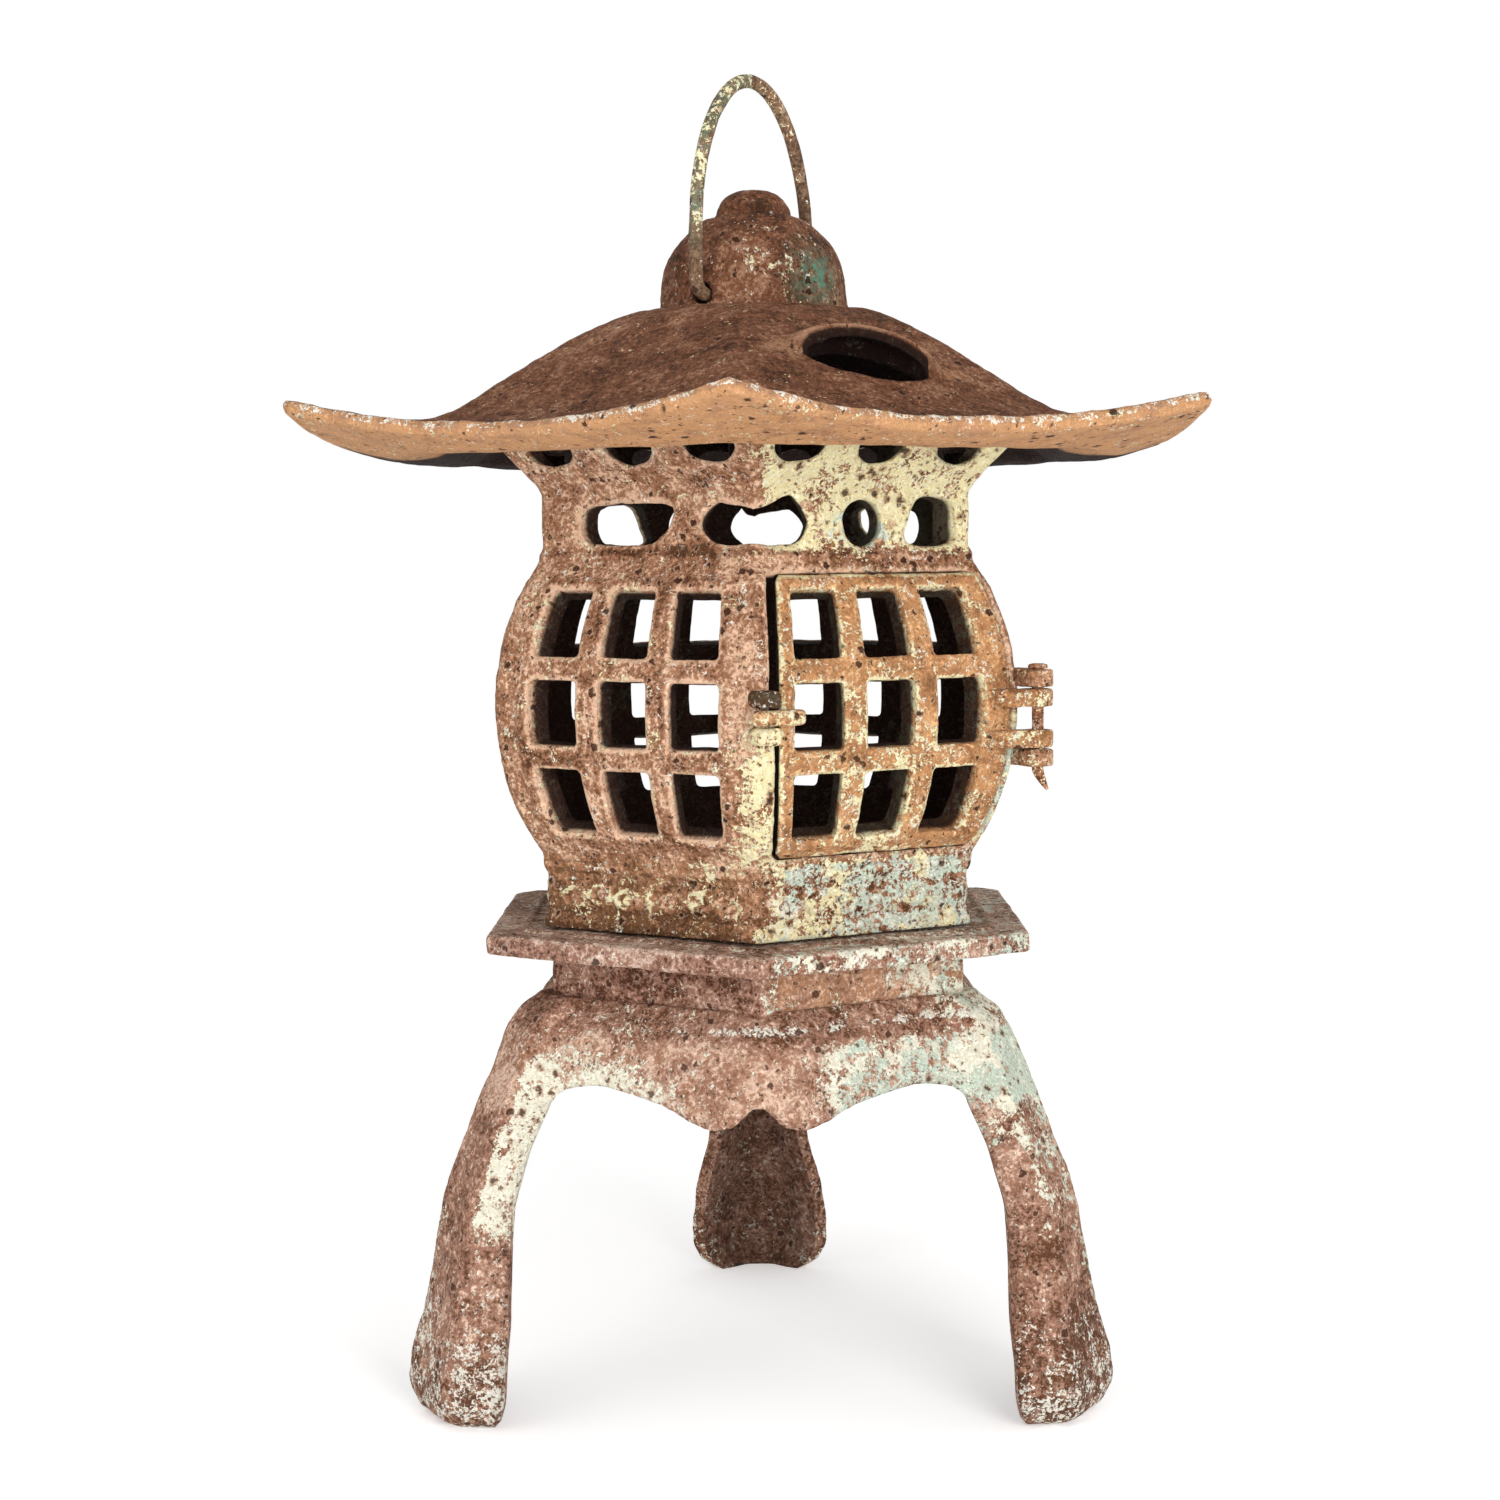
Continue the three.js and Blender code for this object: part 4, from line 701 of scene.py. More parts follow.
def rust_ground_group():
    """Mottled rust in three colours, from broad clouds, patches and fine grain."""
    tree, given, result = new_group(
        "rust ground",
        [("Vector", VECTOR, None), ("Dark", COLOUR, None), ("Mid", COLOUR, None),
         ("Light", COLOUR, None), ("Tone", FLOAT, 0.5)],
        [("Color", COLOUR), ("Height", FLOAT)])
    vector = given.outputs["Vector"]
    broad = stretched(tree, vector, 55.0, 3.0)
    patch = stretched(tree, vector, 240.0, 5.0, 0.68, 0.5)
    grain = stretched(tree, vector, 820.0, 4.0, 0.7)
    level = weighed(tree, (broad, 0.24), (patch, 0.34), (grain, 0.42), (given.outputs["Tone"], 1.0))
    low = blend(tree, spread(tree, level, 0.62, 1.0), given.outputs["Dark"], given.outputs["Mid"])
    full = blend(tree, spread(tree, level, 1.0, 1.38), low, given.outputs["Light"])
    height = weighed(tree, (patch, 0.5), (grain, 0.5))
    return give(tree, result, Color=full, Height=height)


def paint_film_group():
    """Flaked paint. Coverage is about the share of the area that is painted. Gives the paint's
    mask, the rust rim round it, where the second colour shows, and the grit in it."""
    tree, given, result = new_group(
        "paint film",
        [("Vector", VECTOR, None), ("Coverage", FLOAT, 0.3), ("Hue", FLOAT, 0.0)],
        [("Mask", FLOAT), ("Rim", FLOAT), ("Second", FLOAT), ("Grit", FLOAT)])
    vector = given.outputs["Vector"]
    flakes = stretched(tree, vector, 150.0, 6.0, 0.7, 0.6)
    chips = stretched(tree, vector, 460.0, 5.0, 0.72, 0.4)
    grit = stretched(tree, vector, 1300.0, 3.0, 0.6)
    level = weighed(tree, (flakes, 0.38), (chips, 0.38), (grit, 0.24),
                    (given.outputs["Coverage"], 0.68))
    mask = spread(tree, level, 0.83, 0.87)
    rim = times(tree, spread(tree, level, 0.70, 0.83), calc(tree, "SUBTRACT", 1.0, mask))
    second = spread(tree, weighed(tree, (stretched(tree, vector, 80.0, 5.0, 0.65), 0.8),
                                  (stretched(tree, vector, 420.0, 4.0, 0.6), 0.2),
                                  (given.outputs["Hue"], 1.0)), 0.86, 1.1)
    return give(tree, result, Mask=mask, Rim=rim, Second=second, Grit=grit)


def pit_spots_group():
    """Round rust pits in a share of Voronoi cells: a dark core and a wider halo."""
    tree, given, result = new_group(
        "pit spots",
        [("Vector", VECTOR, None), ("Scale", FLOAT, 220.0), ("Share", FLOAT, 0.5)],
        [("Core", FLOAT), ("Halo", FLOAT)])
    vector = given.outputs["Vector"]
    wobble = noise(tree, vector, 700.0, 3.0)
    shifted = put(tree, "Mix", {0: 0.003, 4: vector, 5: wobble.outputs["Color"]},
                  data_type="VECTOR").outputs[1]
    cells = put(tree, "TexVoronoi", {"Vector": shifted, "Scale": given.outputs["Scale"]})
    split = put(tree, "SeparateColor", {"Color": cells.outputs["Color"]})
    present = calc(tree, "LESS_THAN", split.outputs[0], given.outputs["Share"])
    size = calc(tree, "ADD", times(tree, split.outputs[1], 0.22), 0.12)
    near = calc(tree, "DIVIDE", cells.outputs["Distance"], size)
    core = times(tree, spread(tree, near, 1.0, 0.7), present)
    halo = times(tree, spread(tree, near, 1.6, 0.95), present)
    return give(tree, result, Core=core, Halo=halo)


def shared_group(tree, name, build, inputs):
    """Node for a shared group, which is built the first time it is wanted."""
    shared = bpy.data.node_groups.get(name) or build()
    return put(tree, "Group", inputs, node_tree=shared)


def field_of(tree, name):
    return put(tree, "Attribute", attribute_name=name).outputs["Fac"]


def rusted_iron(name, dark, mid, light, painted=True, roughness=0.86, bump=1.0, pit_share=0.4,
                cream=None, soot_range=(0.1, 0.42)):
    """Rusted cast iron with flaked paint. Where painted is true the piece's own fields say how
    much paint (coat), its colour (hue), how light (tone) and warm (warm) the rust is, how many
    white specks (speck), verdigris (verdi) and how much soot there is; the soot field also
    stands for painted shade on inner surfaces, jambs and the rear of the roof's underside. The
    darkening begins and is full at the two values of soot_range."""
    c = bpy.context.scene.lantern_colours
    material = bpy.data.materials.new(name)
    tree = bare_tree(material)
    vector = put(tree, "TexCoord").outputs["Object"]
    tone = field_of(tree, "tone") if painted else 0.5
    ground = shared_group(tree, "rust ground", rust_ground_group, {
        "Vector": vector, "Dark": dark, "Mid": mid, "Light": light, "Tone": tone})
    colour_now, height = ground.outputs["Color"], ground.outputs["Height"]
    large = shared_group(tree, "pit spots", pit_spots_group, {
        "Vector": vector, "Scale": 240.0, "Share": pit_share})
    small = shared_group(tree, "pit spots", pit_spots_group, {
        "Vector": vector, "Scale": 520.0, "Share": pit_share + 0.15})
    core = calc(tree, "MAXIMUM", large.outputs["Core"], times(tree, small.outputs["Core"], 0.85))
    halo = calc(tree, "MAXIMUM", large.outputs["Halo"], times(tree, small.outputs["Halo"], 0.6))
    halo = calc(tree, "MAXIMUM", calc(tree, "SUBTRACT", halo, core), 0.0)
    if painted:
        warm = times(tree, field_of(tree, "warm"), calc(
            tree, "ADD", 0.35, times(tree, stretched(tree, vector, 130.0, 5.0, 0.7), 0.65)))
        colour_now = blend(tree, warm, colour_now, blend(tree, 0.6, colour_now, c.eave_tan))
        colour_now = blend(tree, times(tree, halo, 0.4), colour_now, light)
        film = shared_group(tree, "paint film", paint_film_group, {
            "Vector": vector, "Coverage": field_of(tree, "coat"), "Hue": field_of(tree, "hue")})
        mask = film.outputs["Mask"]
        paint = blend(tree, film.outputs["Second"], cream or c.cream, c.mint)
        stained = blend(tree, 0.5, paint, c.rust_orange)
        paint = blend(tree, times(tree, stretched(tree, vector, 300.0, 5.0, 0.7), 0.4), paint,
                      stained)
        paint = blend(tree, times(tree, film.outputs["Grit"], 0.45), paint, c.chalk)
        colour_now = blend(tree, times(tree, film.outputs["Rim"], 0.4), colour_now, c.rust_orange)
        colour_now = blend(tree, mask, colour_now, paint)
        verdi = times(tree, field_of(tree, "verdi"), stretched(tree, vector, 330.0, 6.0, 0.75))
        colour_now = blend(tree, verdi, colour_now, c.verdigris)
        colour_now = blend(tree, times(tree, times(tree, halo, mask), 0.6), colour_now,
                           c.rust_orange)
        height = calc(tree, "ADD", height, times(tree, mask, 0.3))
        lime = weighed(tree, (stretched(tree, vector, 950.0, 4.0, 0.7, 0.5), 0.55),
                       (stretched(tree, vector, 230.0, 4.0, 0.7), 0.45),
                       (field_of(tree, "speck"), 0.4))
        colour_now = blend(tree, times(tree, spread(tree, lime, 0.86, 0.93), 0.85), colour_now,
                           c.chalk)
    colour_now = blend(tree, times(tree, core, 0.9), colour_now, dark)
    height = calc(tree, "SUBTRACT", height, times(tree, core, 0.6))
    # Soot and painted shade: the soot field darkens inner surfaces, the jambs between them and the
    # shaded parts of the roof's underside.
    if painted:
        soot = spread(tree, field_of(tree, "soot"), soot_range[0], soot_range[1], 0.0, 0.94)
        colour_now = blend(tree, soot, colour_now, c.soot)
    relief = put(tree, "Bump", {"Strength": bump, "Distance": 0.001, "Height": height})
    surface_roughness = spread(tree, noise(tree, vector, 300.0).outputs[0], 0.3, 0.7,
                               roughness - 0.1, min(roughness + 0.1, 1.0))
    shader = put(tree, "BsdfPrincipled", {
        "Base Color": colour_now, "Roughness": surface_roughness, "Normal": relief.outputs[0],
        "Specular IOR Level": 0.14})
    put(tree, "OutputMaterial", {"Surface": shader.outputs[0]})
    return material


def dress(pieces, material, body, slot, *nodes):
    """Gives one or more pieces their material and body, and hides the CAD nodes they stand for. slot
    is not used.
    """
    for piece in pieces if isinstance(pieces, list) else [pieces]:
        piece.data.materials.clear()
        piece.data.materials.append(material)
        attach(piece, body)
        if nodes:
            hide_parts(*nodes)


def shared_material(name, **settings):
    """Material by name, made the first time it is wanted."""
    return bpy.data.materials.get(name) or rusted_iron(name, **settings)


# Stand

# Share of the leg height, then, outwards from the pedestal, the apron's corner and the leg's
# face, the share of the leg's face width, and the spread of its flanks
LEG_SECTIONS = np.array([
    [0, 38.5, 36.5, 0.87, 5], [0.017, 41, 40, 1.1, 6], [0.066, 42.5, 42.5, 1.33, 6.8],
    [0.149, 42, 41.3, 1.3, 7], [0.249, 38.8, 38, 1.18, 6.6], [0.39, 33.5, 34.8, 1, 3.8],
    [0.515, 31.4, 31.5, 0.94, 3.4], [0.647, 25.3, 26, 0.92, 3], [0.747, 17.8, 20.5, 0.92, 2.4],
    [0.805, 14.8, 17.3, 0.9, 2], [0.871, 11.8, 13.7, 0.88, 1.8], [0.913, 9.8, 11.5, 0.86, 1.5],
    [0.938, 7.8, 9.8, 0.84, 1.2], [0.963, 5.3, 7, 0.82, 1], [0.983, 2.5, 4, 0.8, 0.8],
    [1, 0.5, -0.5, 0.76, 0.5]])


def section_at(z):
    """The four measures of the stand's section at a height, by rounded straight blends."""
    share = np.clip(z / LEG_HEIGHT, 0, 1)
    reach = 0.012 * ease(share, 0.0, 0.05)
    return [sum(np.interp(share + k * reach, LEG_SECTIONS[:, 0], LEG_SECTIONS[:, column])
                for k in (-1, 0, 1)) / 3 for column in range(1, 5)]


def stand_corners(z, wall):
    """The five corners of a third of the stand's section, as radius, and sideways shift from the
    leg's bearing: apron corner, leg root, two edges of the leg's face, and the other root."""
    apron_out, facet_out, width, flank = section_at(z)
    apron = PEDESTAL_RADIUS + apron_out - wall / CORNER_30
    facet = PEDESTAL_RADIUS + facet_out - wall
    half = LEG_FACET_WIDTH / 2 * width - 0.85 * wall
    root_side = half + flank
    root = apron - root_side * math.tan(math.pi / 6)
    zero = np.zeros_like(half)
    return [(apron, zero - 60, zero), (root, zero, -root_side), (facet, zero, -half),
            (facet, zero, half), (root, zero, root_side), (apron, zero + 60, zero)]


def stand_plan(turn, z, wall):
    """Point of the stand's section: the leg is the turn's fifth, and the corner its remainder,
    with a straight blend from corner to corner."""
    leg = np.floor(turn / 5)
    local = turn - 5 * leg
    corners = stand_corners(z, wall)
    bearing = 60 + 120 * leg
    total = np.zeros(np.shape(turn) + (2,))
    for k, (radius, offset, sideways) in enumerate(corners):
        weight = np.clip(1 - np.abs(local - k), 0, 1)
        total += weight[..., None] * polar(radius, bearing + offset, sideways)
    return total


def stand_surface(wall):
    """Outer (no wall) or inner surface of the legs and apron, from the ground to the shoulder."""
    def at(turn, z):
        reach = 0.16
        plan = sum(stand_plan(turn + step, z, wall) for step in np.linspace(-reach, reach, 5)) / 5
        return at_height(plan, z)
    return at


def arch_height(x):
    """Height of the arch's edge at a distance from the middle of an apron."""
    knots = [(0, CUSP_LEVEL), (3, CUSP_LEVEL - 2.2), (7, LOBE_LEVEL + 1.6),
             (LOBE_OFFSET, LOBE_LEVEL), (20, LOBE_LEVEL + 1.7), (26.5, LOBE_LEVEL + 4.8),
             (36, CROWN_LEVEL - 1.6), (CROWN_OFFSET, CROWN_LEVEL), (55, CROWN_LEVEL - 1.8),
             (60, CROWN_LEVEL - 5), (64, CROWN_LEVEL - 10.5), (70, CROWN_LEVEL - 24),
             (76, CROWN_LEVEL - 44)]
    return softened(knots, np.abs(x), 1.6)


def stand_clearance(turn, z):
    """Height of a point above the arch beside it, over the slope of the arch there. The leg
    itself, from root to root, is solid."""
    leg = np.floor(turn / 5)
    local = turn - 5 * leg
    point = stand_surface(0.0)(turn, z)[..., :2]
    near_side = np.where(local < 2.5, -60, 60)
    middle = np.radians(60 + 120 * leg + near_side)
    x = point[..., 0] * np.cos(middle) + point[..., 1] * np.sin(middle)
    fall = arch_height(x + 0.5) - arch_height(x - 0.5)
    above = (z - arch_height(x)) / np.sqrt(1 + fall ** 2)
    in_leg = 8 * np.minimum(local - 1, 4 - local) + 0.01
    return np.maximum(above, in_leg)


class LanternStand(bpy.types.Operator):
    """Builds the tripod stand"""
    bl_idname = "lantern.stand"
    bl_label = "Stand"

    def execute(self, context):
        shape, c = context.scene.lantern_shape, context.scene.lantern_colours
        leg_turns = np.concatenate([np.linspace(side, side + 1, count, endpoint=False)
                                    for side, count in enumerate((30, 7, 16, 7, 30))])
        turns = np.concatenate([leg_turns + 5 * leg for leg in range(3)])
        rises = np.linspace(0, LEG_HEIGHT - 0.2, 96)

        def relief(turn, z, points, margin):
            wear = -1.1 * (1 - np.clip(margin / 2.0, 0, 1)) ** 2
            swell = 1.6 * rough(points, 20, 3, 21) + rough(points, 7, 2, 24)
            return (wear + shape.swell / MM * swell
                    + shape.scale_height / MM * rough(points, 2.8, 2, 22)
                    - shape.pit_depth / MM * 0.6 * pits(points, 6, shape.pit_radius / MM, 0.4, 23))

        # The legs' inner surfaces are darkened by sooty 0.91, though no flame is below them: painted
        # shade inside the stand.
        legs = cast_wall("tripod_legs", turns, rises, stand_surface(0.0), stand_surface(STAND_WALL),
                         finish_of_legs, scale=12.0, clearance=stand_clearance, relief=relief,
                         inner_relief=lambda p: 0.35 * rough(p, 9, 3, 25), lowest=0.0, sooted_and_shaded=0.91)

        def plan(turn):
            return rounded(hexagon, turn, 0.02)

        def pedestal_relief(turn, t, points, margin):
            cast = 0.3 * rough(points, 10, 3, 27) + 0.15 * rough(points, 2.6, 2, 28)
            return cast * (points[..., 2] < STAND_TOP - 0.2)

        outer = [(PEDESTAL_RADIUS - 0.8, LEG_HEIGHT - 1.5), (PEDESTAL_RADIUS, LEG_HEIGHT + 1),
                 (PEDESTAL_RADIUS, STAND_TOP - 1), (PEDESTAL_RADIUS - 1.2, STAND_TOP),
                 (DECK_HOLE_RADIUS + 4, STAND_TOP)]
        inner = [(PEDESTAL_RADIUS - 6.8, LEG_HEIGHT - 4), (PEDESTAL_RADIUS - 6.6, LEG_HEIGHT),
                 (PEDESTAL_RADIUS - 6.6, STAND_TOP - PEDESTAL_DECK - 0.5),
                 (PEDESTAL_RADIUS - 8, STAND_TOP - PEDESTAL_DECK),
                 (DECK_HOLE_RADIUS + 4, STAND_TOP - PEDESTAL_DECK)]
        pedestal = cast_wall("tripod_pedestal", np.arange(0, 6, 1 / 56), np.linspace(0, 1, 45),
                             swept(outer, plan), swept(inner, plan), finish_of_pedestal,
                             relief=pedestal_relief)
        # With soot_range (0.8, 1.0) the insides of the legs turn half dark and the pedestal's inside
        # fully dark: painted shade.
        material = shared_material("stand rusted iron", dark=linear(84, 50, 34), mid=c.dusty,
                                   light=linear(234, 200, 178), cream=c.pale,
                                   soot_range=(0.8, 1.0))
        dress(legs + pedestal, material, "frame", "stand_iron", "tripod_stand")
        return {"FINISHED"}


def finish_of_legs(turn, z, points, margin, lift):
    """Fields of the legs and apron: brown on the left with pale edges and a cream inner flank,
    cream and blue-green on the right apron and upper right leg, white specks on the feet."""
    bearing, x = bearing_of(points), points[..., 0]
    local = turn % 5
    leg = np.floor(turn / 5)
    mottled, fine = rough(points, 22, 3, 31), rough(points, 8, 3, 32)
    patchy = 0.5 * mottled + 0.5 * fine
    front = ease(-points[..., 1], -20, 30)
    right = between(bearing, 5, 16, 95, 140)
    on_apron = between(z, 88, 94, 109, 113)
    shoulder = ease(z, 111, 114)
    left_leg, right_leg = (leg == 2) * 1.0, (leg == 0) * 1.0
    inner_flank = left_leg * between(local, 3.0, 3.35, 4.3, 4.9)
    outer_edge = left_leg * bump_at(local, 2.1, 0.22) + right_leg * bump_at(local, 2.95, 0.2)
    crease = right_leg * bump_at(local, 2.0, 0.22)
    right_face = right_leg * between(local, 2.0, 2.3, 3.2, 4.2)
    right_flank = right_leg * between(local, 0.8, 1.2, 1.8, 2.1)
    coat = (0.04 + 0.26 * patchy
            + 0.66 * right * on_apron * ease(x, 10, 22)
            + 0.30 * on_apron * bump_at(x, -60, 8) * ease(z, 96, 106) * front
            + 0.72 * inner_flank * ease(z, 46, 62) * (1 - ease(z + 5 * fine, 98, 110))
            + 0.30 * outer_edge * bump_at(z, 38, 26)
            + 0.50 * crease * ease(z, 44, 66)
            + 0.34 * right_face * ease(z, 44, 78)
            + 0.30 * right_flank * ease(z, 66, 84)
            + 0.26 * right * shoulder * ease(x, 40, 62)
            + 0.04 * (1 - ease(z, 10, 34)))
    hue = (0.45 * right * on_apron * ease(x, 14, 34) + 0.4 * right_face + 0.15 * right
           + 0.5 * bump_at(margin, 0, 3) * right + 0.15 * left_leg * bump_at(z, 42, 20) - 0.1)
    tone = (0.52 + 0.16 * patchy + 0.12 * on_apron - 0.22 * (1 - ease(z, 0, 42))
            - 0.12 * shoulder - 0.22 * bump_at(np.abs(bearing), 180, 60)
            - 0.16 * right_leg * (1 - ease(z, 34, 70)))
    warm = 0.1 + 0.12 * on_apron * (1 - right) + 0.3 * right * ease(z, 121, 124)
    line = 115.8 + 0.8 * mottled - 1.4 * bump_at(x, -22, 16)
    streak = bump_at(z, line, 0.9) * between(x, -40, 0, 62, 74) * front
    speck = (0.80 * (1 - ease(z, 8, 44)) - 0.14
             + 0.5 * left_leg * bump_at(z, 32, 14) * between(local, 1.6, 2.0, 2.2, 2.6)
             + 1.5 * streak + 0.25 * right * on_apron + 0.2 * inner_flank)
    return {"coat": coat, "hue": hue, "tone": tone, "warm": warm, "speck": speck}


def finish_of_pedestal(turn, t, points, margin, lift):
    """Fields of the pedestal: more paint and warmer rust on the right."""
    bearing = bearing_of(points)
    patchy = rough(points, 14, 4, 33)
    right = between(bearing, 25, 50, 110, 150)
    return {"coat": 0.04 + 0.42 * right + 0.3 * patchy + 0.45 * bump_at(bearing, 3, 2.5),
            "hue": 0.25 + 0.2 * patchy, "tone": 0.46 + 0.2 * patchy - 0.06 * (bearing < 0),
            "warm": 0.6 * ease(bearing, 0, 6) * (bearing < 90), "speck": -0.1}


# Plate

class LanternPlate(bpy.types.Operator):
    """Builds the hexagonal platform plate"""
    bl_idname = "lantern.plate"
    bl_label = "Platform plate"

    def execute(self, context):
        shape, c = context.scene.lantern_shape, context.scene.lantern_colours
        ledge = PLATE_TOP - PLATE_STEP
        profile = np.array([
            (0, PLATE_BOTTOM), (40, PLATE_BOTTOM), (70, PLATE_BOTTOM), (84, PLATE_BOTTOM),
            (PLATE_RADIUS - 1.1, PLATE_BOTTOM), (PLATE_RADIUS - 0.3, PLATE_BOTTOM + 0.4),
            (PLATE_RADIUS, PLATE_BOTTOM + 1.2), (PLATE_RADIUS, ledge - 1.4),
            (PLATE_RADIUS - 0.4, ledge - 0.4), (PLATE_RADIUS - 1.3, ledge),
            (80.2, ledge), (79.2, PLATE_TOP), (77.6, PLATE_TOP), (76.8, PLATE_TOP - 0.6),
            (70, PLATE_TOP - 0.6), (40, PLATE_TOP), (0, PLATE_TOP)])
        steps = np.concatenate([[0], np.cumsum(np.linalg.norm(np.diff(profile, axis=0), axis=1))])
        where = np.concatenate([np.linspace(0, steps[4] - 8, 8),
                                np.linspace(steps[4] - 7, steps[12] + 8, 44),
                                np.linspace(steps[12] + 12, steps[-1], 8)])
        radius = np.interp(where, steps, profile[:, 0])
        height = np.interp(where, steps, profile[:, 1])
        turn, share = np.meshgrid(np.arange(0, 6, 1 / 64), np.linspace(0, 1, len(where)),
                                  indexing="ij")
        surface = swept(np.stack([radius, height], -1), lambda t: rounded(hexagon, t, 0.018))
        points = surface(turn, share)
        rim = ease(radius, 60, 70)[None, :]
        points = weathered(points, grid_normals(points, True), shape, 41, 0.9 * rim)
        points[..., 2] = np.minimum(points[..., 2], PLATE_TOP + 0.25)

        def finish(p):
            bearing = bearing_of(p)
            patchy = rough(p, 16, 4, 43)
            side = 1 - ease(p[..., 2], ledge - 0.9, ledge - 0.3)
            right = between(bearing, -1, 5, 100, 140)
            rim_line = bump_at(p[..., 2], ledge - 0.4, 0.5)
            return {"coat": 0.06 + 0.3 * patchy + side * 0.46 * right + 0.3 * rim_line * right
                    + 0.14 * (1 - side),
                    "hue": 0.5 * right + 0.1 * (1 - side) - 0.08,
                    "tone": 0.44 + 0.08 * side + 0.2 * patchy + 0.3 * rim_line,
                    "warm": 0.1 * right, "speck": 0.24 * right - 0.12 + 0.2 * rim_line,
                    "verdi": 0.12 * (1 - side)}

        plate = closed_grid("platform_plate_cast", points, finish)
        material = shared_material("plate rusted iron", dark=linear(70, 42, 30), mid=c.dusty,
                                   light=linear(226, 196, 178), cream=c.pale, pit_share=0.6)
        dress(plate, material, "frame", "plate_iron", "platform_plate")
        return {"FINISHED"}


# Firebox and door

def belly_table():
    """Corner radius of the firebox by height, with the belly as an arc of a circle."""
    half = (BELLY_TOP - BELLY_BOTTOM) / 2
    arc = (half ** 2 + BELLY_RISE ** 2) / (2 * BELLY_RISE)
    z = np.linspace(BELLY_BOTTOM, BELLY_TOP, 45)[1:-1]
    belly = BELLY_RADIUS - arc + np.sqrt(arc ** 2 - (z - BELLY_BOTTOM - half) ** 2)
    neck, cornice = NECK_RADIUS, CORNICE_RADIUS - NECK_RADIUS
    rows = [(FIREBOX_BOTTOM, FOOT_RADIUS + MOULDING), (FIREBOX_BOTTOM + 2.6, FOOT_RADIUS + MOULDING),
            (FIREBOX_BOTTOM + 3.9, FOOT_RADIUS), (BELLY_BOTTOM - 3.9, FOOT_RADIUS),
            (BELLY_BOTTOM - 2.6, FOOT_RADIUS + MOULDING)]
    rows += [(height, max(radius, FOOT_RADIUS + MOULDING)) for height, radius in zip(z, belly)]
    rows += [(BELLY_TOP, neck + MOULDING), (BELLY_TOP + 1.3, neck), (NECK_TOP, neck),
             (NECK_TOP + 2.9, neck + 0.1 * cornice), (NECK_TOP + 5.5, neck + 0.26 * cornice),
             (NECK_TOP + 12.9, neck + 0.7 * cornice), (FIREBOX_TOP, CORNICE_RADIUS)]
    return np.array(rows)


FIREBOX_PROFILE = belly_table()


def firebox_radius(z):
    return softened(FIREBOX_PROFILE, z, 0.9)


def firebox_surface(depth):
    """Surface of the firebox at a depth in its wall: a hexagon with rounded corners, with the
    corner radius at the height. In the belly the depth is measured square to its curve: with s
    the fall of the face outwards, the point goes in by depth / sqrt(1 + s^2) and down by s times
    that; elsewhere it goes level."""
    def at(turn, z):
        fall = (firebox_radius(z - 3) - firebox_radius(z + 3)) / 6 * CORNER_30
        fall = fall * between(z, BELLY_BOTTOM + 2, BELLY_BOTTOM + 9, BELLY_TOP - 9, BELLY_TOP - 2)
        inward = depth / np.sqrt(1 + fall ** 2)
        radius = firebox_radius(z) - inward / CORNER_30
        plan = rounded(hexagon, turn, 0.02) * radius[..., None]
        return at_height(plan, z - fall * inward)
    return at


WINDOW_SHARE = (1 - 2 * POST_SHARE - 2 * BAR_SHARE) / 3
WINDOW_HEIGHT = (BELLY_TOP - BELLY_BOTTOM - LATTICE_BOTTOM - LATTICE_TOP - 2 * RAIL_WIDTH) / 3


def window_place(x, z, side):
    """Distances across and up from the middle of the nearest of a face's nine windows. x is
    counted from the face's middle."""
    column = np.clip(np.round(x / side / (WINDOW_SHARE + BAR_SHARE)), -1, 1)
    low = BELLY_BOTTOM + LATTICE_BOTTOM + WINDOW_HEIGHT / 2
    row = np.clip(np.round((z - low) / (WINDOW_HEIGHT + RAIL_WIDTH)), 0, 2)
    return (x - column * (WINDOW_SHARE + BAR_SHARE) * side,
            z - low - row * (WINDOW_HEIGHT + RAIL_WIDTH))


def window_distance(x, z, side):
    """Distance to the nearest window of a face."""
    across, up = window_place(x, z, side)
    return box_distance(across, up, WINDOW_SHARE / 2 * side, WINDOW_HEIGHT / 2, 1.5)


def face_lines(step):
    """Turns of the grid lines of one face, close beside the edges of its windows."""
    pitch, half = (WINDOW_SHARE + BAR_SHARE) * BELLY_RADIUS, WINDOW_SHARE / 2 * BELLY_RADIUS
    edges = [BELLY_RADIUS / 2 + k * pitch + hand * half for k in (-1, 0, 1) for hand in (-1, 1)]
    return fine_lines(0.0, BELLY_RADIUS, edges, step)[:-1] / BELLY_RADIUS


def window_rows():
    """Heights of the lower and upper edges of the windows."""
    sills = [BELLY_BOTTOM + LATTICE_BOTTOM + k * (WINDOW_HEIGHT + RAIL_WIDTH) for k in range(3)]
    return [sill + height for sill in sills for height in (0, WINDOW_HEIGHT)]


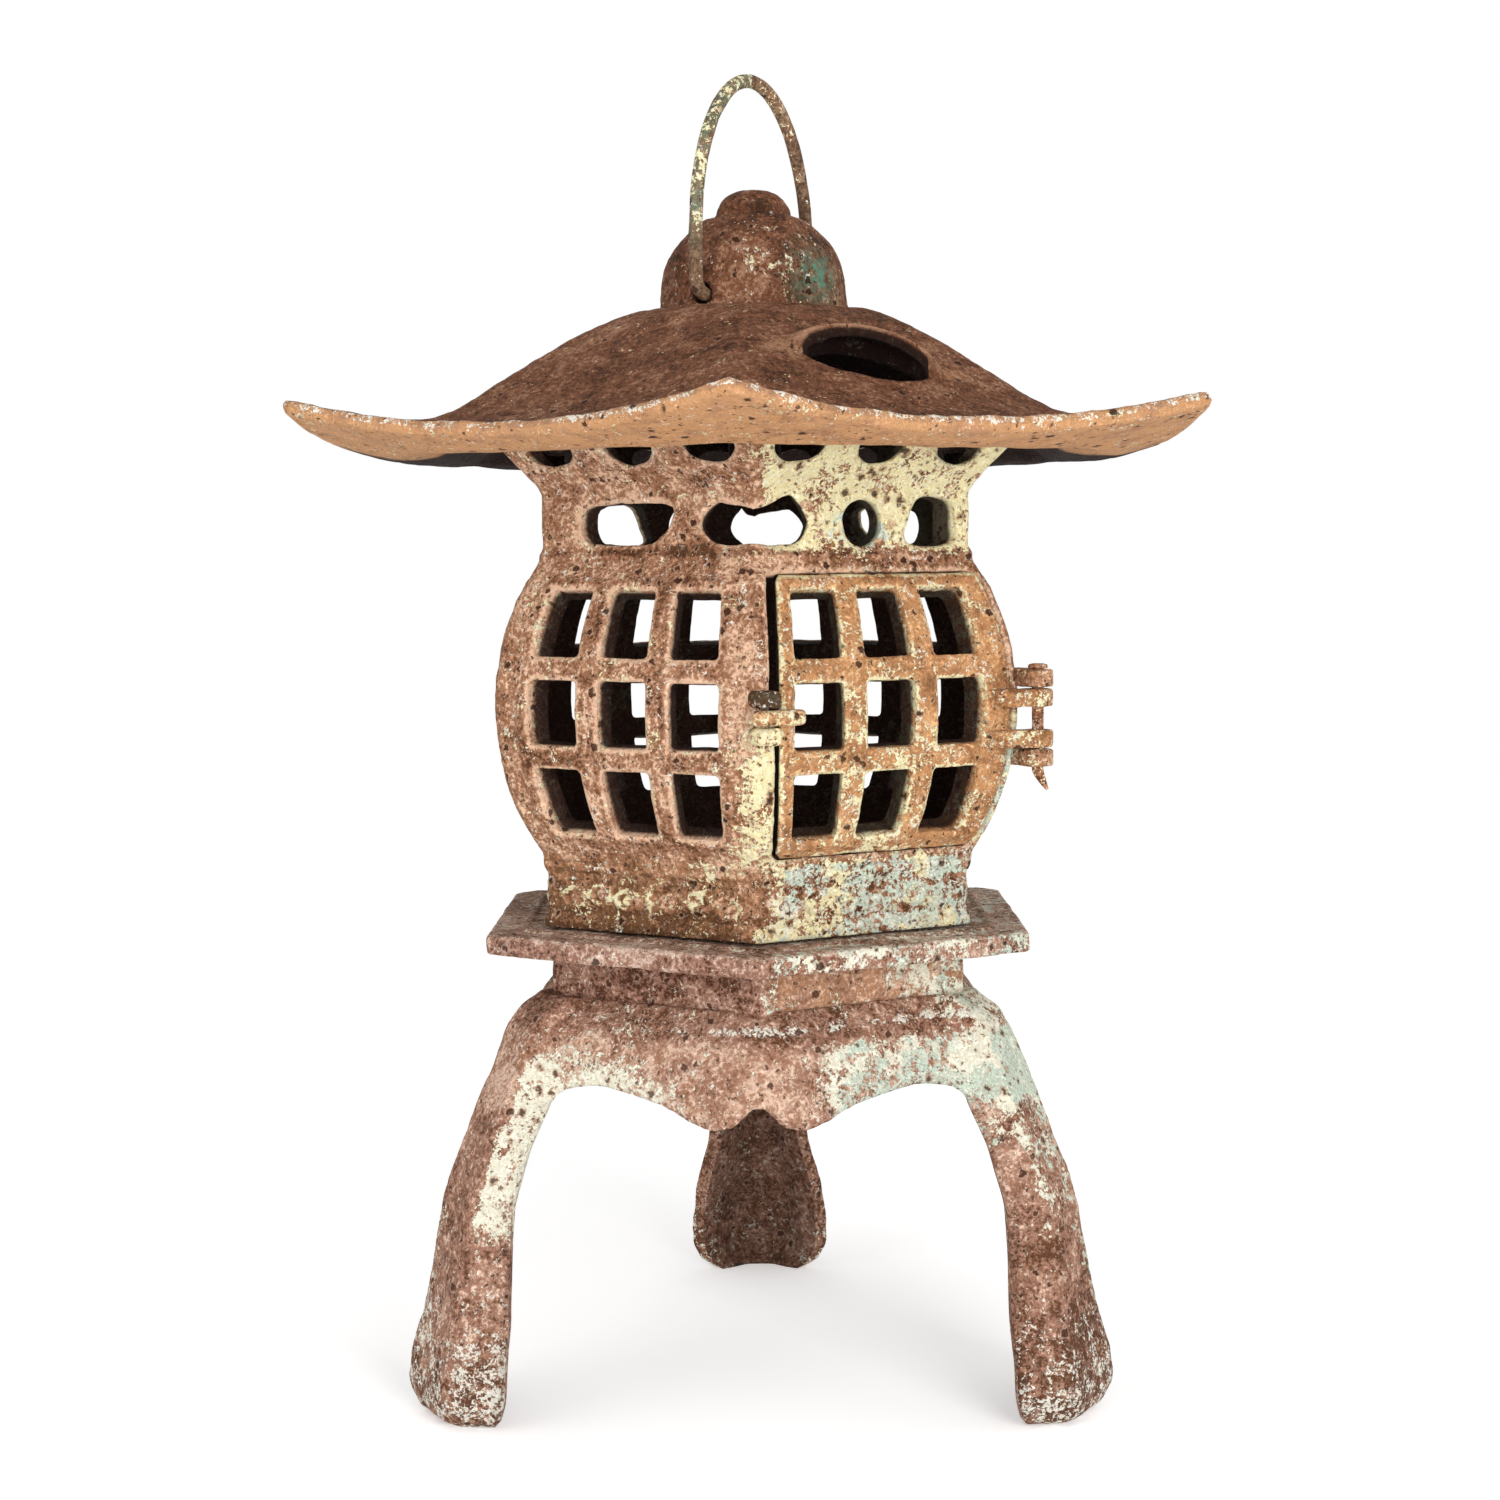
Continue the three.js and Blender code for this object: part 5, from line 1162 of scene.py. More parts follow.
def neck_outlines():
    """Closed outlines of the neck's openings for each face, x counted from its first corner."""
    side, sill, head, margin = NECK_RADIUS, NECK_SILL, NECK_HEAD, SIDE_OPENING_MARGIN
    middle = (sill + head) / 2

    def cloud_half(reach, lift):
        return [(-9, sill), (0, sill), (reach - 5, sill), (reach, middle),
                (reach - 4.5, head + lift - 0.6), (reach / 2 + 1, head + lift),
                (3, head - 1.2), (-3, head - 2.3), (-9, head - 2.6)]

    def boat(start, end):
        return [(start, middle + 1), (start + 2, head), (end - 3.5, head - 0.5), (end, middle),
                (end - 1.5, sill + 1), (end - 5.5, sill), (start + 9, sill), (start + 4, sill + 2.2)]

    def arched(start, end):
        return [(start + 0.5, sill), (start, middle), (start + 3.5, head + 0.8),
                ((start + end) / 2, head + 1.8), (end - 1.4, head + 0.4), (end, middle),
                (end - 0.9, sill)]

    def port(offset):
        a = np.linspace(0, 2 * np.pi, 16, endpoint=False)
        return np.stack([offset + PORT_RADIUS * np.cos(a), middle + PORT_RADIUS * np.sin(a)], -1)

    def flip(outlines):
        return [[(side - s, z) for s, z in outline] for outline in outlines]

    wide = [(margin, middle), (margin + 4, sill), (side - margin - 4, sill), (side - margin, middle),
            (side - margin - 4, head), (side / 2, head - 2), (margin + 4, head)]
    short, long = REAR_CLOUD_REACHES
    faces = {0: [cloud_half(CLOUD_REACH, CLOUD_LIFT), port(PORT_OFFSET), arched(*ARCH_SPAN)],
             5: flip([cloud_half(CLOUD_REACH, 0), boat(*BOAT_SPAN)]),
             3: [cloud_half(short, CLOUD_LIFT), port(REAR_PORT_OFFSET), arched(*REAR_ARCH_SPAN)],
             2: flip([cloud_half(long, 0), boat(*REAR_BOAT_SPAN)]), 1: [wide], 4: [wide]}
    return {face: [rounded_outline(outline) for outline in outlines]
            for face, outlines in faces.items()}


NECK_OUTLINES = neck_outlines()


def door_distance(x, z, side, low, high, gap, corner):
    """Distance to the door's outline between two shares of its face, x counted from the face's
    middle, let out by a gap above and below."""
    return box_distance(x - ((low + high) / 2 - 0.5) * side, z - (DOOR_Z0 + DOOR_Z1) / 2,
                        (high - low) / 2 * side, (DOOR_Z1 - DOOR_Z0) / 2 + gap, corner)


def waviness(turn, z, seed):
    """Unevenness of the edges of openings."""
    return 0.22 * rough(np.stack([turn * FACE_SCALE, z, 0 * z], -1), 5, 2, seed)


def firebox_clearance(turn, z):
    """Distance from the nearest opening of the firebox: lattice, doorway, neck and cornice."""
    face = np.floor(turn) % 6
    side = firebox_radius(z)
    x = (turn - np.floor(turn) - 0.5) * side
    lattice = window_distance(x, z, side)
    doorway = door_distance(x, z, side, POST_EDGE, HINGE_POST_EDGE, DOOR_GAP, 2.6)
    slot = box_distance(x - (POST_EDGE - 0.5) * side, z - (DOOR_Z1 + SLOT_BOTTOM) / 2,
                        SLOT_HALF_WIDTH, (DOOR_Z1 - SLOT_BOTTOM) / 2, 0.6)
    nearest = np.where(face == 0, np.minimum(doorway, slot), lattice)
    neck_x = x + NECK_RADIUS / 2
    in_neck = (z > BELLY_TOP - 6) & (z < NECK_TOP + 8)
    for number, outlines in NECK_OUTLINES.items():
        pick = in_neck & (face == number)
        for outline in outlines:
            near = outline_distance(neck_x[pick], z[pick], outline)
            nearest[pick] = np.minimum(nearest[pick], near)
    half = (NECK_RADIUS + CORNICE_RADIUS) / 2
    for share in (-1 / 3, 0, 1 / 3):
        far = np.hypot((x - share * half) / OVAL_HALF_WIDTH, (z - OVAL_LEVEL) / OVAL_HALF_HEIGHT)
        nearest = np.minimum(nearest, (far - 1) * 5.6)
    return nearest + waviness(turn, z, 51) * np.where(z > BELLY_TOP, 2.0, 1.0)


def scroll_height(x, y):
    """Scrollwork, the same on both sides of a bud at the middle: a vine waving by a sine, and in
    each of its bends a hook that leaves the vine and curls back under it."""
    away, nearest = np.abs(x), np.full(x.shape, np.inf)
    along = np.linspace(2.5, 30.5, 29)
    vine = np.stack([along, 2.2 * np.sin(2 * np.pi * (along - 3) / 18)], -1)
    hook = np.array([(4.5, 0.0), (3.2, -2.5), (0.2, -3.6), (-3.2, -2.6), (-2.9, -0.5), (-0.2, -0.2),
                     (0.9, -1.5), (-0.6, -2.1)])
    lines = [vine] + [open_curve(hook * (1, hand) + (middle, 0.4 * hand), 3)
                      for middle, hand in ((7.5, 1), (16.5, -1), (25.5, 1))]
    for line in lines:
        nearest = np.minimum(nearest, line_distance(away, y, line))
    bud = 1 - ease(np.hypot(x / 2.1, y / 3.8), 0.5, 1.0)
    return np.maximum(bump_at(nearest, 0, 0.75), bud)


def within_band(z):
    """1 on the foot band between its beads, and 0 beyond them."""
    return between(z, BAND_BOTTOM, BAND_BOTTOM + 1, BAND_TOP - 1, BAND_TOP)


def lattice_relief(shape, z, points, margin, seed):
    """Outward shift of a lattice wall: bevels beside the openings, a low ridge along the bars,
    swell, scale and pits."""
    bevel = -shape.edge_wear / MM * np.clip(1 - margin / 1.1, 0, 1)
    in_belly = between(z, BELLY_BOTTOM + 5, BELLY_BOTTOM + 8, BELLY_TOP - 8, BELLY_TOP - 5)
    ridge = shape.ridge / MM * in_belly * (1 - ease(margin, 3.4, 5.2))
    return (bevel + ridge + shape.swell / MM * rough(points, 13, 3, seed)
            + shape.scale_height / MM * rough(points, 2.7, 2, seed + 1)
            - shape.pit_depth / MM * pits(points, 5.6, shape.pit_radius / MM, 0.45, seed + 2))


def firebox_finish(turn, z, points, margin, lift):
    """Fields of the firebox: brown on the left, thick cream and mint on the right, and darker at the
    foot below the band, most on the left, as painted shadow.
    """
    bearing = bearing_of(points)
    mottled, fine = rough(points, 20, 3, 61), rough(points, 7, 3, 62)
    patchy = 0.45 * mottled + 0.55 * fine
    right = ease(bearing + 3 * fine, -2, 3) * (1 - ease(bearing, 120, 165))
    left = between(-bearing, 2, 6, 100, 140)
    back = ease(np.abs(bearing), 100, 150)
    in_band = within_band(z)
    raised = ease(lift, 0.3, 0.9) * in_band * ease(rough(points, 6, 2, 65), -0.35, 0.35)
    hollow = (1 - ease(lift, 0.05, 0.6)) * in_band
    band = 1 - ease(z, 160, 163.5)
    crown = ease(z, 246, 250)
    post = bump_at(bearing, 1.0, 5.5) * (1 - ease(z + 8 * fine, 196, 206)) * ease(z, 158, 164)
    corner_right = bump_at(bearing, 58, 7) * between(z, 160, 168, 196, 216)
    worn = bump_at(margin, 0.3, 0.8)
    groove = bump_at(margin, 2.1, 0.7) * (z < BELLY_TOP)
    coat = (0.05 + 0.26 * patchy + right * (0.66 * band + 0.74 * crown) + 0.78 * post
            + 0.6 * corner_right + 0.16 * back + 0.62 * raised * (1 - right) + 0.12 * raised
            - 0.20 * hollow * right
            + 0.12 * worn + 0.12 * left * band - 0.14 * right * bump_at(z, 158.5, 1.6)
            - 0.30 * right * bump_at(z, 248.5, 1.6))
    mint_neck = bump_at(bearing, 30, 15) * bump_at(z, 254, 6)
    hue = (right * band * (0.50 + 0.25 * ease(bearing, 18, 45)) + 0.62 * crown * mint_neck
           + 0.5 * corner_right + 0.2 * back + 0.2 * post * (1 - ease(z, 164, 176)) - 0.12 * crown
           + 0.12 * bump_at(z, 160, 3))
    # The last two terms of tone are painted shadow at the foot below the band: on the left side, and
    # all round where the firebox meets the plate.
    tone = (0.52 + 0.18 * patchy + 0.40 * worn - 0.12 * groove + 0.10 * raised + 0.04 * crown
            - 0.22 * hollow
            + 0.14 * bump_at(bearing, 0, 9) * (1 - band) * (1 - crown)
            - 0.10 * (1 - crown) * (1 - band) * (bearing > 9) - 0.25 * bump_at(z, 249.5, 1.6)
            - 0.30 * bump_at(z, 157.0, 1.0) - 0.34 * left * (1 - ease(z, 145, 149))
            - 0.30 * bump_at(z, FIREBOX_BOTTOM, 1.4))
    warm = 0.15 + 0.2 * band * (1 - right)
    speck = 0.02 + 0.08 * patchy + 0.3 * raised + 0.30 * right * band
    return {"coat": coat, "hue": hue, "tone": tone, "warm": warm, "speck": speck}


def door_finish(turn, z, points, margin, lift):
    """Fields of the door: orange-brown with cream flakes that gather on its middle bars and on
    the upper and right bevels of its windows."""
    side = firebox_radius(z)
    across, up = window_place((turn - 0.5) * side, z, side)
    patchy = 0.5 * rough(points, 18, 3, 63) + 0.5 * rough(points, 6, 3, 64)
    x = points[..., 0]
    low = 1 - ease(z, 196, 222)
    patch = bump_at(x, 32, 11) * low + 0.6 * bump_at(x, 52, 7) * bump_at(z, 190, 14)
    above = (up > WINDOW_HEIGHT / 2 - 0.4) & (margin < 0.9)
    beside = (np.abs(across) > WINDOW_SHARE / 2 * side - 0.4) & (margin < 0.9)
    edge = 0.40 * above + 0.30 * beside + 0.2 * bump_at(x, 6.5, 1.0)
    coat = 0.12 + 0.3 * patchy + 0.44 * patch + edge
    groove = bump_at(margin, 2.1, 0.7)
    tone = 0.5 + 0.2 * patchy + 0.5 * edge - 0.14 * groove
    return {"coat": coat, "hue": -0.15 + 0.2 * patch, "tone": tone, "warm": 0.95, "speck": 0.08}


def plain_finish(**values):
    """Fields that are the same all over a small piece, but for a little mottling."""
    def fields(points):
        mottled = 0.1 * rough(points, 7, 3, 71)
        base = {"coat": 0.15, "tone": 0.45, "warm": 0.1, "speck": 0.15} | values
        return base | {"coat": base["coat"] + mottled, "tone": base["tone"] + mottled}
    return fields


HINGE_AXIS = polar(BELLY_RADIUS + HINGE_REACH, 60)


def near_hinge(out, away):
    """Point by its distances from the hinge axis out of the door's face and along it."""
    face = math.radians(30)
    return (HINGE_AXIS[0] + out * math.sin(face) - away * math.cos(face),
            HINGE_AXIS[1] - out * math.cos(face) - away * math.sin(face))


def knuckles(name, outline, middles, seed, finish):
    """Lugs of one level outline about their middle heights."""
    half = KNUCKLE_THICKNESS / 2
    return [lug(f"{name}_{number}", outline, middle - half, middle + half, seed + number, finish)
            for number, middle in enumerate(middles)]


def block_on_face(start, end, sunk, depth):
    """Outline of a block beside the front corner, standing out of the door's face."""
    face, middle = BELLY_RADIUS * CORNER_30, BELLY_RADIUS / 2
    return [tuple(polar(reach, 30, s - middle)) for reach, s in (
        (face - sunk, start), (face + depth, start), (face + depth, (start + end) / 2),
        (face + depth, end), (face - sunk, end))]


class LanternFirebox(bpy.types.Operator):
    """Builds the firebox with its lugs"""
    bl_idname = "lantern.firebox"
    bl_label = "Firebox"

    def execute(self, context):
        shape, c = context.scene.lantern_shape, context.scene.lantern_colours
        rises = np.concatenate([np.linspace(FIREBOX_BOTTOM, BELLY_BOTTOM, 36, endpoint=False),
                                fine_lines(BELLY_BOTTOM, BELLY_TOP, window_rows(), 0.9)[:-1],
                                np.linspace(BELLY_TOP, FIREBOX_TOP, 44)])
        turns = np.concatenate([face_lines(0.82) + face for face in range(6)])

        def relief(turn, z, points, margin):
            x = (turn - np.floor(turn) - 0.5) * firebox_radius(z)
            in_band = within_band(z)
            scroll = np.zeros(z.shape)
            near = in_band > 0
            scroll[near] = scroll_height(x[near], z[near] - SCROLL_LEVEL) * in_band[near]
            worn = 0.75 + 0.25 * rough(points, 5, 2, 56)
            return (shape.scroll / MM * scroll * worn
                    + lattice_relief(shape, z, points, margin, 52))

        walls = cast_wall("firebox_cast", turns, rises, firebox_surface(0.0), firebox_surface(WALL),
                          firebox_finish, clearance=firebox_clearance, relief=relief,
                          inner_relief=lambda p: -0.3 * rough(p, 6, 3, 55),
                          cuts=(BELLY_BOTTOM, BELLY_TOP))
        material = shared_material("firebox rusted iron", dark=c.rust_dark, mid=c.rust_mid,
                                   light=c.rust_light, pit_share=0.5)
        dress(walls, material, "frame", "firebox_iron", "firebox")
        hinge_arm = [polar(BELLY_RADIUS + out, 60, side) for out, side in (
            (-6, 1), (-0.4, -0.6), (3, -3.2), (6.2, -4.4), (9.6, -2.8), (10.6, 0), (9.6, 2.8),
            (6.2, 4.6), (-3, 8), (-6, 5))]
        pieces = knuckles("hinge_lug", hinge_arm, FIREBOX_KNUCKLES, 81,
                          plain_finish(coat=0.28, warm=0.35, tone=0.5))
        keeper = block_on_face(-1.0, 5.2, WALL / 2, 4.6)
        below, above = TONGUE_BOTTOM - KEEPER_GAP, TONGUE_TOP + KEEPER_GAP
        pieces.append(lug("keeper_low", keeper, below - KEEPER_HEIGHT, below, 85,
                          plain_finish(coat=0.85, tone=0.6), 1.3))
        pieces.append(lug("keeper_high", keeper, above, above + KEEPER_HEIGHT, 86,
                          plain_finish(coat=0.02, tone=0.0, verdi=0.12), 1.6))
        for name, bearings, bottom, seed, outline in (
                ("base_lug", BASE_BOLT_BEARINGS, FIREBOX_BOTTOM, 87,
                 ((39, -4), (43, -8), (58, -8), (58, 8), (43, 8), (39, 4))),
                ("roof_lug", LEG_BEARINGS, FIREBOX_TOP - INNER_LUG_HEIGHT, 88,
                 ((58, -4), (62, -8), (76, -8), (80, 0), (76, 8), (62, 8), (58, 4)))):
            for number, bearing in enumerate(bearings):
                corners = [polar(radius, bearing, side) for radius, side in outline]
                pieces.append(lug(f"{name}_{number}", corners, bottom, bottom + INNER_LUG_HEIGHT,
                                  seed, plain_finish(soot=1.0), 0.6))
        lugs = join("firebox_lugs", pieces)
        dress(lugs, material, "frame", "firebox_iron", "firebox")
        return {"FINISHED"}


class LanternDoor(bpy.types.Operator):
    """Builds the hinged lattice door"""
    bl_idname = "lantern.door"
    bl_label = "Door"

    def execute(self, context):
        shape, c = context.scene.lantern_shape, context.scene.lantern_colours

        def clearance(turn, z):
            side = firebox_radius(z)
            x = (turn - 0.5) * side
            leaf = -door_distance(x, z, side, DOOR_FREE_EDGE, DOOR_HINGE_EDGE, 0.0, 2.4)
            return np.minimum(window_distance(x, z, side) + waviness(turn, z, 57), leaf)

        def relief(turn, z, points, margin):
            return 0.25 + lattice_relief(shape, z, points, margin, 58)

        lines = face_lines(0.8)
        inside = (lines > DOOR_FREE_EDGE + 0.004) & (lines < DOOR_HINGE_EDGE - 0.004)
        lines = np.concatenate([[DOOR_FREE_EDGE], lines[inside], [DOOR_HINGE_EDGE]])
        leaf = cast_wall("door_cast", lines, fine_lines(DOOR_Z0, DOOR_Z1, window_rows(), 0.8),
                         firebox_surface(0.0), firebox_surface(WALL), door_finish,
                         wrap=False, clearance=clearance, relief=relief,
                         inner_relief=lambda p: -0.25 * rough(p, 6, 3, 59))
        material = shared_material("door rusted iron", dark=c.rust_dark, mid=linear(168, 112, 72),
                                   light=linear(240, 200, 152))
        dress(leaf, material, "door", "door_iron", "door")
        depth, edge = HINGE_REACH * CORNER_30, HINGE_REACH / 2 + 2.9
        arm = [near_hinge(out, away) for out, away in (
            (-depth + DOOR_GAP, 1), (-depth + DOOR_GAP, edge + 0.4), (-depth - 3, edge + 2.6),
            (-depth - 3, edge + 9), (-0.6, edge + 6.0), (3.4, edge - 0.4), (4.4, 1.2), (3.4, -2.8),
            (0, -4.4), (-3.6, -2.6))]
        pieces = knuckles("door_lug", arm, DOOR_KNUCKLES, 91,
                          plain_finish(coat=0.25, warm=0.6, tone=0.5))
        root_start, root_end = 9.4, 12.0
        tongue = block_on_face(root_end - TONGUE_LENGTH, root_end, -1.5, 5.2)
        pieces.append(lug("latch_tongue", tongue, TONGUE_BOTTOM, TONGUE_TOP, 93,
                          plain_finish(coat=0.5, warm=0.5, tone=0.6), 1.1))
        root = block_on_face(root_start, root_end, 3.0, 4.6)
        pieces.append(lug("latch_root", root, TONGUE_BOTTOM + 0.2, TONGUE_TOP - 0.2, 94,
                          plain_finish(coat=0.3, warm=0.5), 0.8))
        fittings = join("door_fittings", pieces)
        dress(fittings, material, "door", "door_iron", "door")
        return {"FINISHED"}


class LanternHingePin(bpy.types.Operator):
    """Builds the nail that serves as hinge pin"""
    bl_idname = "lantern.hinge_pin"
    bl_label = "Hinge pin"

    def execute(self, context):
        c = context.scene.lantern_colours
        top = FIREBOX_KNUCKLES[1] + KNUCKLE_THICKNESS / 2 + SEAT_GAP
        x, y = HINGE_AXIS
        out = polar(1.0, 60)
        rows = [(0, top + 1.4, 0.0), (0, top + 1.35, 1.6), (0, top + 1.1, PIN_HEAD_RADIUS - 0.3),
                (0, top + 0.5, PIN_HEAD_RADIUS), (0, top + 0.05, PIN_HEAD_RADIUS - 0.2),
                (0, top - 0.1, PIN_RADIUS)]
        rows += [(0, z, PIN_RADIUS) for z in np.linspace(top - 1, HINGE_MIDDLE - 14.8, 26)]
        rows += [(0.5, HINGE_MIDDLE - 16.2, 1.5), (1.4, HINGE_MIDDLE - 17.8, 1.15),
                 (2.2, HINGE_MIDDLE - 19.2, 0.8), (3.0, HINGE_MIDDLE - 20.4, 0.45),
                 (3.1, HINGE_MIDDLE - 20.6, 0.0)]
        rows = np.array(rows)
        path = np.stack([x + rows[:, 0] * out[0], y + rows[:, 0] * out[1], rows[:, 1]], -1)
        pin = tube("hinge_pin_nail", path[::-1], rows[::-1, 2], 20, 95, 0.1,
                   plain_finish(coat=0.12, tone=0.35))
        material = shared_material("pin rusted steel", dark=c.rust_dark, mid=c.rust_mid,
                                   light=c.rust_light, roughness=0.75, bump=0.6)
        dress(pin, material, "frame", "pin_steel", "hinge_pin")
        return {"FINISHED"}


# Roof

PANEL_FALL = [(28, 0), (39, 1.6), (48, 4.6), (58, 9.2), (68, 14.6), (76, 19.2), (84, 23.8), (92, 29),
              (100, 32.8), (109, 35.6), (117, 36.9), (124, 37.4), (180, 37.4)]
UNDERSIDE_FALL = [(22.5, 5.5), (39, 7.4), (48, 10.8), (58, 15.4), (68, 20.6), (76, 25), (84, 29.2),
                  (92, 33.6), (98, 38.6), (106, 43.4), (114, 44.4), (180, 44.4)]


def eave_share(bearing):
    """Share of the way from a tip (0) to the middle of an eave (1)."""
    turn = (bearing - ROOF_TURN) % 60
    return np.minimum(turn, 60 - turn) / 30


def eave_radius(bearing):
    """Radius of the eaves: a straight hexagon drawn in by a sine between the tips, each tip cut
    off blunt."""
    w = eave_share(bearing)
    straight = TIP_RADIUS * CORNER_30 / np.cos(np.radians(30 - 30 * w))
    edge = straight - EAVE_BOW * np.sin(w * np.pi / 2)
    return np.minimum(edge, TIP_RADIUS - 1.2)


def hexagon_reach(radius, bearing):
    """Corner radius of the level hexagon through a point, rounded off towards the dome."""
    flat = radius * np.cos(np.radians(30 - 30 * eave_share(bearing))) / CORNER_30
    return radius + (flat - radius) * np.clip((radius - DOME_RADIUS) / 26, 0, 1)


def soft_reach(radius, bearing):
    """Mean of the hexagon reach over a few degrees, which rounds the hips."""
    return sum(hexagon_reach(radius, bearing + step) for step in (-2.0, -1.0, 0.0, 1.0, 2.0)) / 5


def panel_height(radius, bearing):
    """Upper side of the panels: a fall by reach, and a curl towards the tips."""
    curl = np.clip((radius - CURL_START) / (TIP_RADIUS - CURL_START), 0, None)
    return (DOME_FOOT - softened(PANEL_FALL, soft_reach(radius, bearing), 3.0)
            + TIP_RISE * curl ** 1.15 * (1 - eave_share(bearing)) ** 1.6)


def underside_height(radius, bearing):
    """Underside: a fall by reach, and outside the lowest ring a hull that rises to the lip."""
    inner = DOME_FOOT - softened(UNDERSIDE_FALL, soft_reach(radius, bearing), 2.0)
    edge = eave_radius(bearing)
    low = DOME_FOOT - softened(UNDERSIDE_FALL, soft_reach(np.full_like(radius, EAVE_BELLY_RADIUS),
                                                          bearing), 2.0)
    lip = panel_height(edge, bearing) - EAVE_LIP
    t = np.clip((radius - EAVE_BELLY_RADIUS) / (edge - EAVE_BELLY_RADIUS), 0, 1)
    hull = low + (lip - low) * t ** 1.25
    return np.where(radius > EAVE_BELLY_RADIUS, hull, inner)


def vent_place(points, vent):
    """Distances of points across a vent's slanted long axis, downhill, and along it."""
    bearing = math.radians(vent + ROOF_TURN)
    down = points[..., 0] * math.sin(bearing) - points[..., 1] * math.cos(bearing) - VENT_RADIUS
    across = points[..., 0] * math.cos(bearing) + points[..., 1] * math.sin(bearing)
    slant = math.radians(VENT_SLANT)
    return (down * math.cos(slant) - across * math.sin(slant),
            across * math.cos(slant) + down * math.sin(slant))


VENTS = (30, 150)
LIP_SHARE, LIP_OUT = 0.45, 0.4
PANEL_START, PANEL_RUN = 24.0, 118.0


def from_lip(share):
    """Rough distance in from the lip of the eaves."""
    return (1 - share) * PANEL_RUN


def roof_plan(turn, share):
    """Radius, bearing and level point of the roof. turn counts tips; share runs to the eaves.
    Near a vent the radius is bent so that the row at LIP_SHARE follows the line of its lip:
    the lip's radius less the row's, times a window in bearing, times a bell in share."""
    bearing = 60 * turn + ROOF_TURN
    edge = sum(eave_radius(bearing + step) for step in (-0.6, 0.0, 0.6)) / 3
    radius = PANEL_START + share * (edge - PANEL_START)
    slant = math.radians(VENT_SLANT)
    for vent in VENTS:
        away = (bearing - vent - ROOF_TURN + 180) % 360 - 180
        a = np.radians(np.clip(away, -30, 30)) + slant
        lip = (LIP_OUT + VENT_RADIUS * math.cos(slant)) / np.cos(a)
        row = PANEL_START + LIP_SHARE * (edge - PANEL_START)
        near = 1 - ease(np.abs(away), 20, 29)
        radius = radius + (lip - row) * near * bump_at(share, LIP_SHARE, 0.2)
    return radius, bearing, polar(radius, bearing)


def hood_lift(plan, ground, share, longer, thickness):
    """How far the hoods stand above the panels: each hood's back is level across the vent, domed
    along it, and meets the panel by a soft maximum. Downhill of its lip there is none. The
    hollow inside it is shorter and lower by the hood's wall."""
    lift = np.zeros(plan.shape[:-1])
    for vent in VENTS:
        out, side = vent_place(plan, vent)
        middle = panel_height(np.array(VENT_RADIUS), np.array(float(vent + ROOF_TURN)))
        axis = middle - side * math.sin(math.radians(VENT_SLANT)) * 0.6
        dome = np.clip(1 - (side / (VENT_HALF_LENGTH + longer)) ** 2, 0, 1)
        back = (axis + HOOD_CREST * dome ** 0.55 - 0.012 * (out + 4) ** 2 - thickness
                - 40 * (dome <= 0))
        gap = back - ground
        soft = 0.5 * (gap + np.sqrt(gap ** 2 + 6.0)) - 0.35
        near = (share <= LIP_SHARE + 1e-6) * ease(out, -26, -14)
        lift = lift + np.clip(soft, 0, None) * near * (dome > 0)
    return lift


def roof_surface(upper):
    """Upper or lower side of the roof, the lip rounded by a quarter circle, with the hoods."""
    def at(turn, share):
        radius, bearing, plan = roof_plan(turn, share)
        top = panel_height(radius, bearing)
        curve = 1 - np.sqrt(1 - np.clip(1 - from_lip(share) / 2.0, 0, 1) ** 2)
        if upper:
            z = top + hood_lift(plan, top, share, 4.2, 0.0) - 1.7 * curve
        else:
            hollow = hood_lift(plan, top, share, 0.8, HOOD_WALL)
            lower = underside_height(radius, bearing)
            z = lower + (top + hollow - lower) * ease(hollow, 0.0, 1.6) + 1.7 * curve
        return at_height(plan, z)
    return at


def roof_clearance(turn, share):
    """Distance from the mouth of the nearest vent: its oval downhill of the lip, where a share
    of 1 counts as 96 mm."""
    plan = roof_plan(turn, share)[2]
    nearest = np.full(turn.shape, 99.0)
    for vent in VENTS:
        out, side = vent_place(plan, vent)
        oval = (np.hypot(out / VENT_HALF_WIDTH, side / VENT_HALF_LENGTH) - 1) * VENT_HALF_WIDTH
        nearest = np.minimum(nearest, np.maximum(oval, (LIP_SHARE - share) * 96))
    return nearest


def dome_outline():
    """Profiles of the dome's outer and inner side, from the top to the foot."""
    knob_foot = DOME_FOOT + DOME_HEIGHT
    outer = [(0, knob_foot + KNOB_HEIGHT), (0.45 * KNOB_RADIUS, knob_foot + 0.95 * KNOB_HEIGHT),
             (0.8 * KNOB_RADIUS, knob_foot + 0.72 * KNOB_HEIGHT),
             (KNOB_RADIUS, knob_foot + 0.32 * KNOB_HEIGHT),
             (1.08 * KNOB_RADIUS, knob_foot + 0.02), (0.52 * DOME_RADIUS, knob_foot - 0.8),
             (0.67 * DOME_RADIUS, DOME_FOOT + 23.6), (0.83 * DOME_RADIUS, DOME_FOOT + 19),
             (0.93 * DOME_RADIUS, DOME_FOOT + 13.7), (0.98 * DOME_RADIUS, DOME_FOOT + 8.2),
             (DOME_RADIUS, DOME_FOOT + 2.8), (DOME_RADIUS + 0.4, DOME_FOOT + 0.6),
             (DOME_RADIUS + 1.4, DOME_FOOT - 1.2)]
    hollow = DOME_RADIUS - DOME_WALL
    inner = [(0, knob_foot - DOME_WALL), (0.25 * hollow, knob_foot - DOME_WALL - 0.8),
             (0.6 * hollow, DOME_FOOT + 19.8), (0.9 * hollow, DOME_FOOT + 13.2),
             (hollow, DOME_FOOT + 4.4), (hollow, DOME_FOOT - 5)]
    return open_curve(np.array(outer), 6), open_curve(np.array(inner), 8)


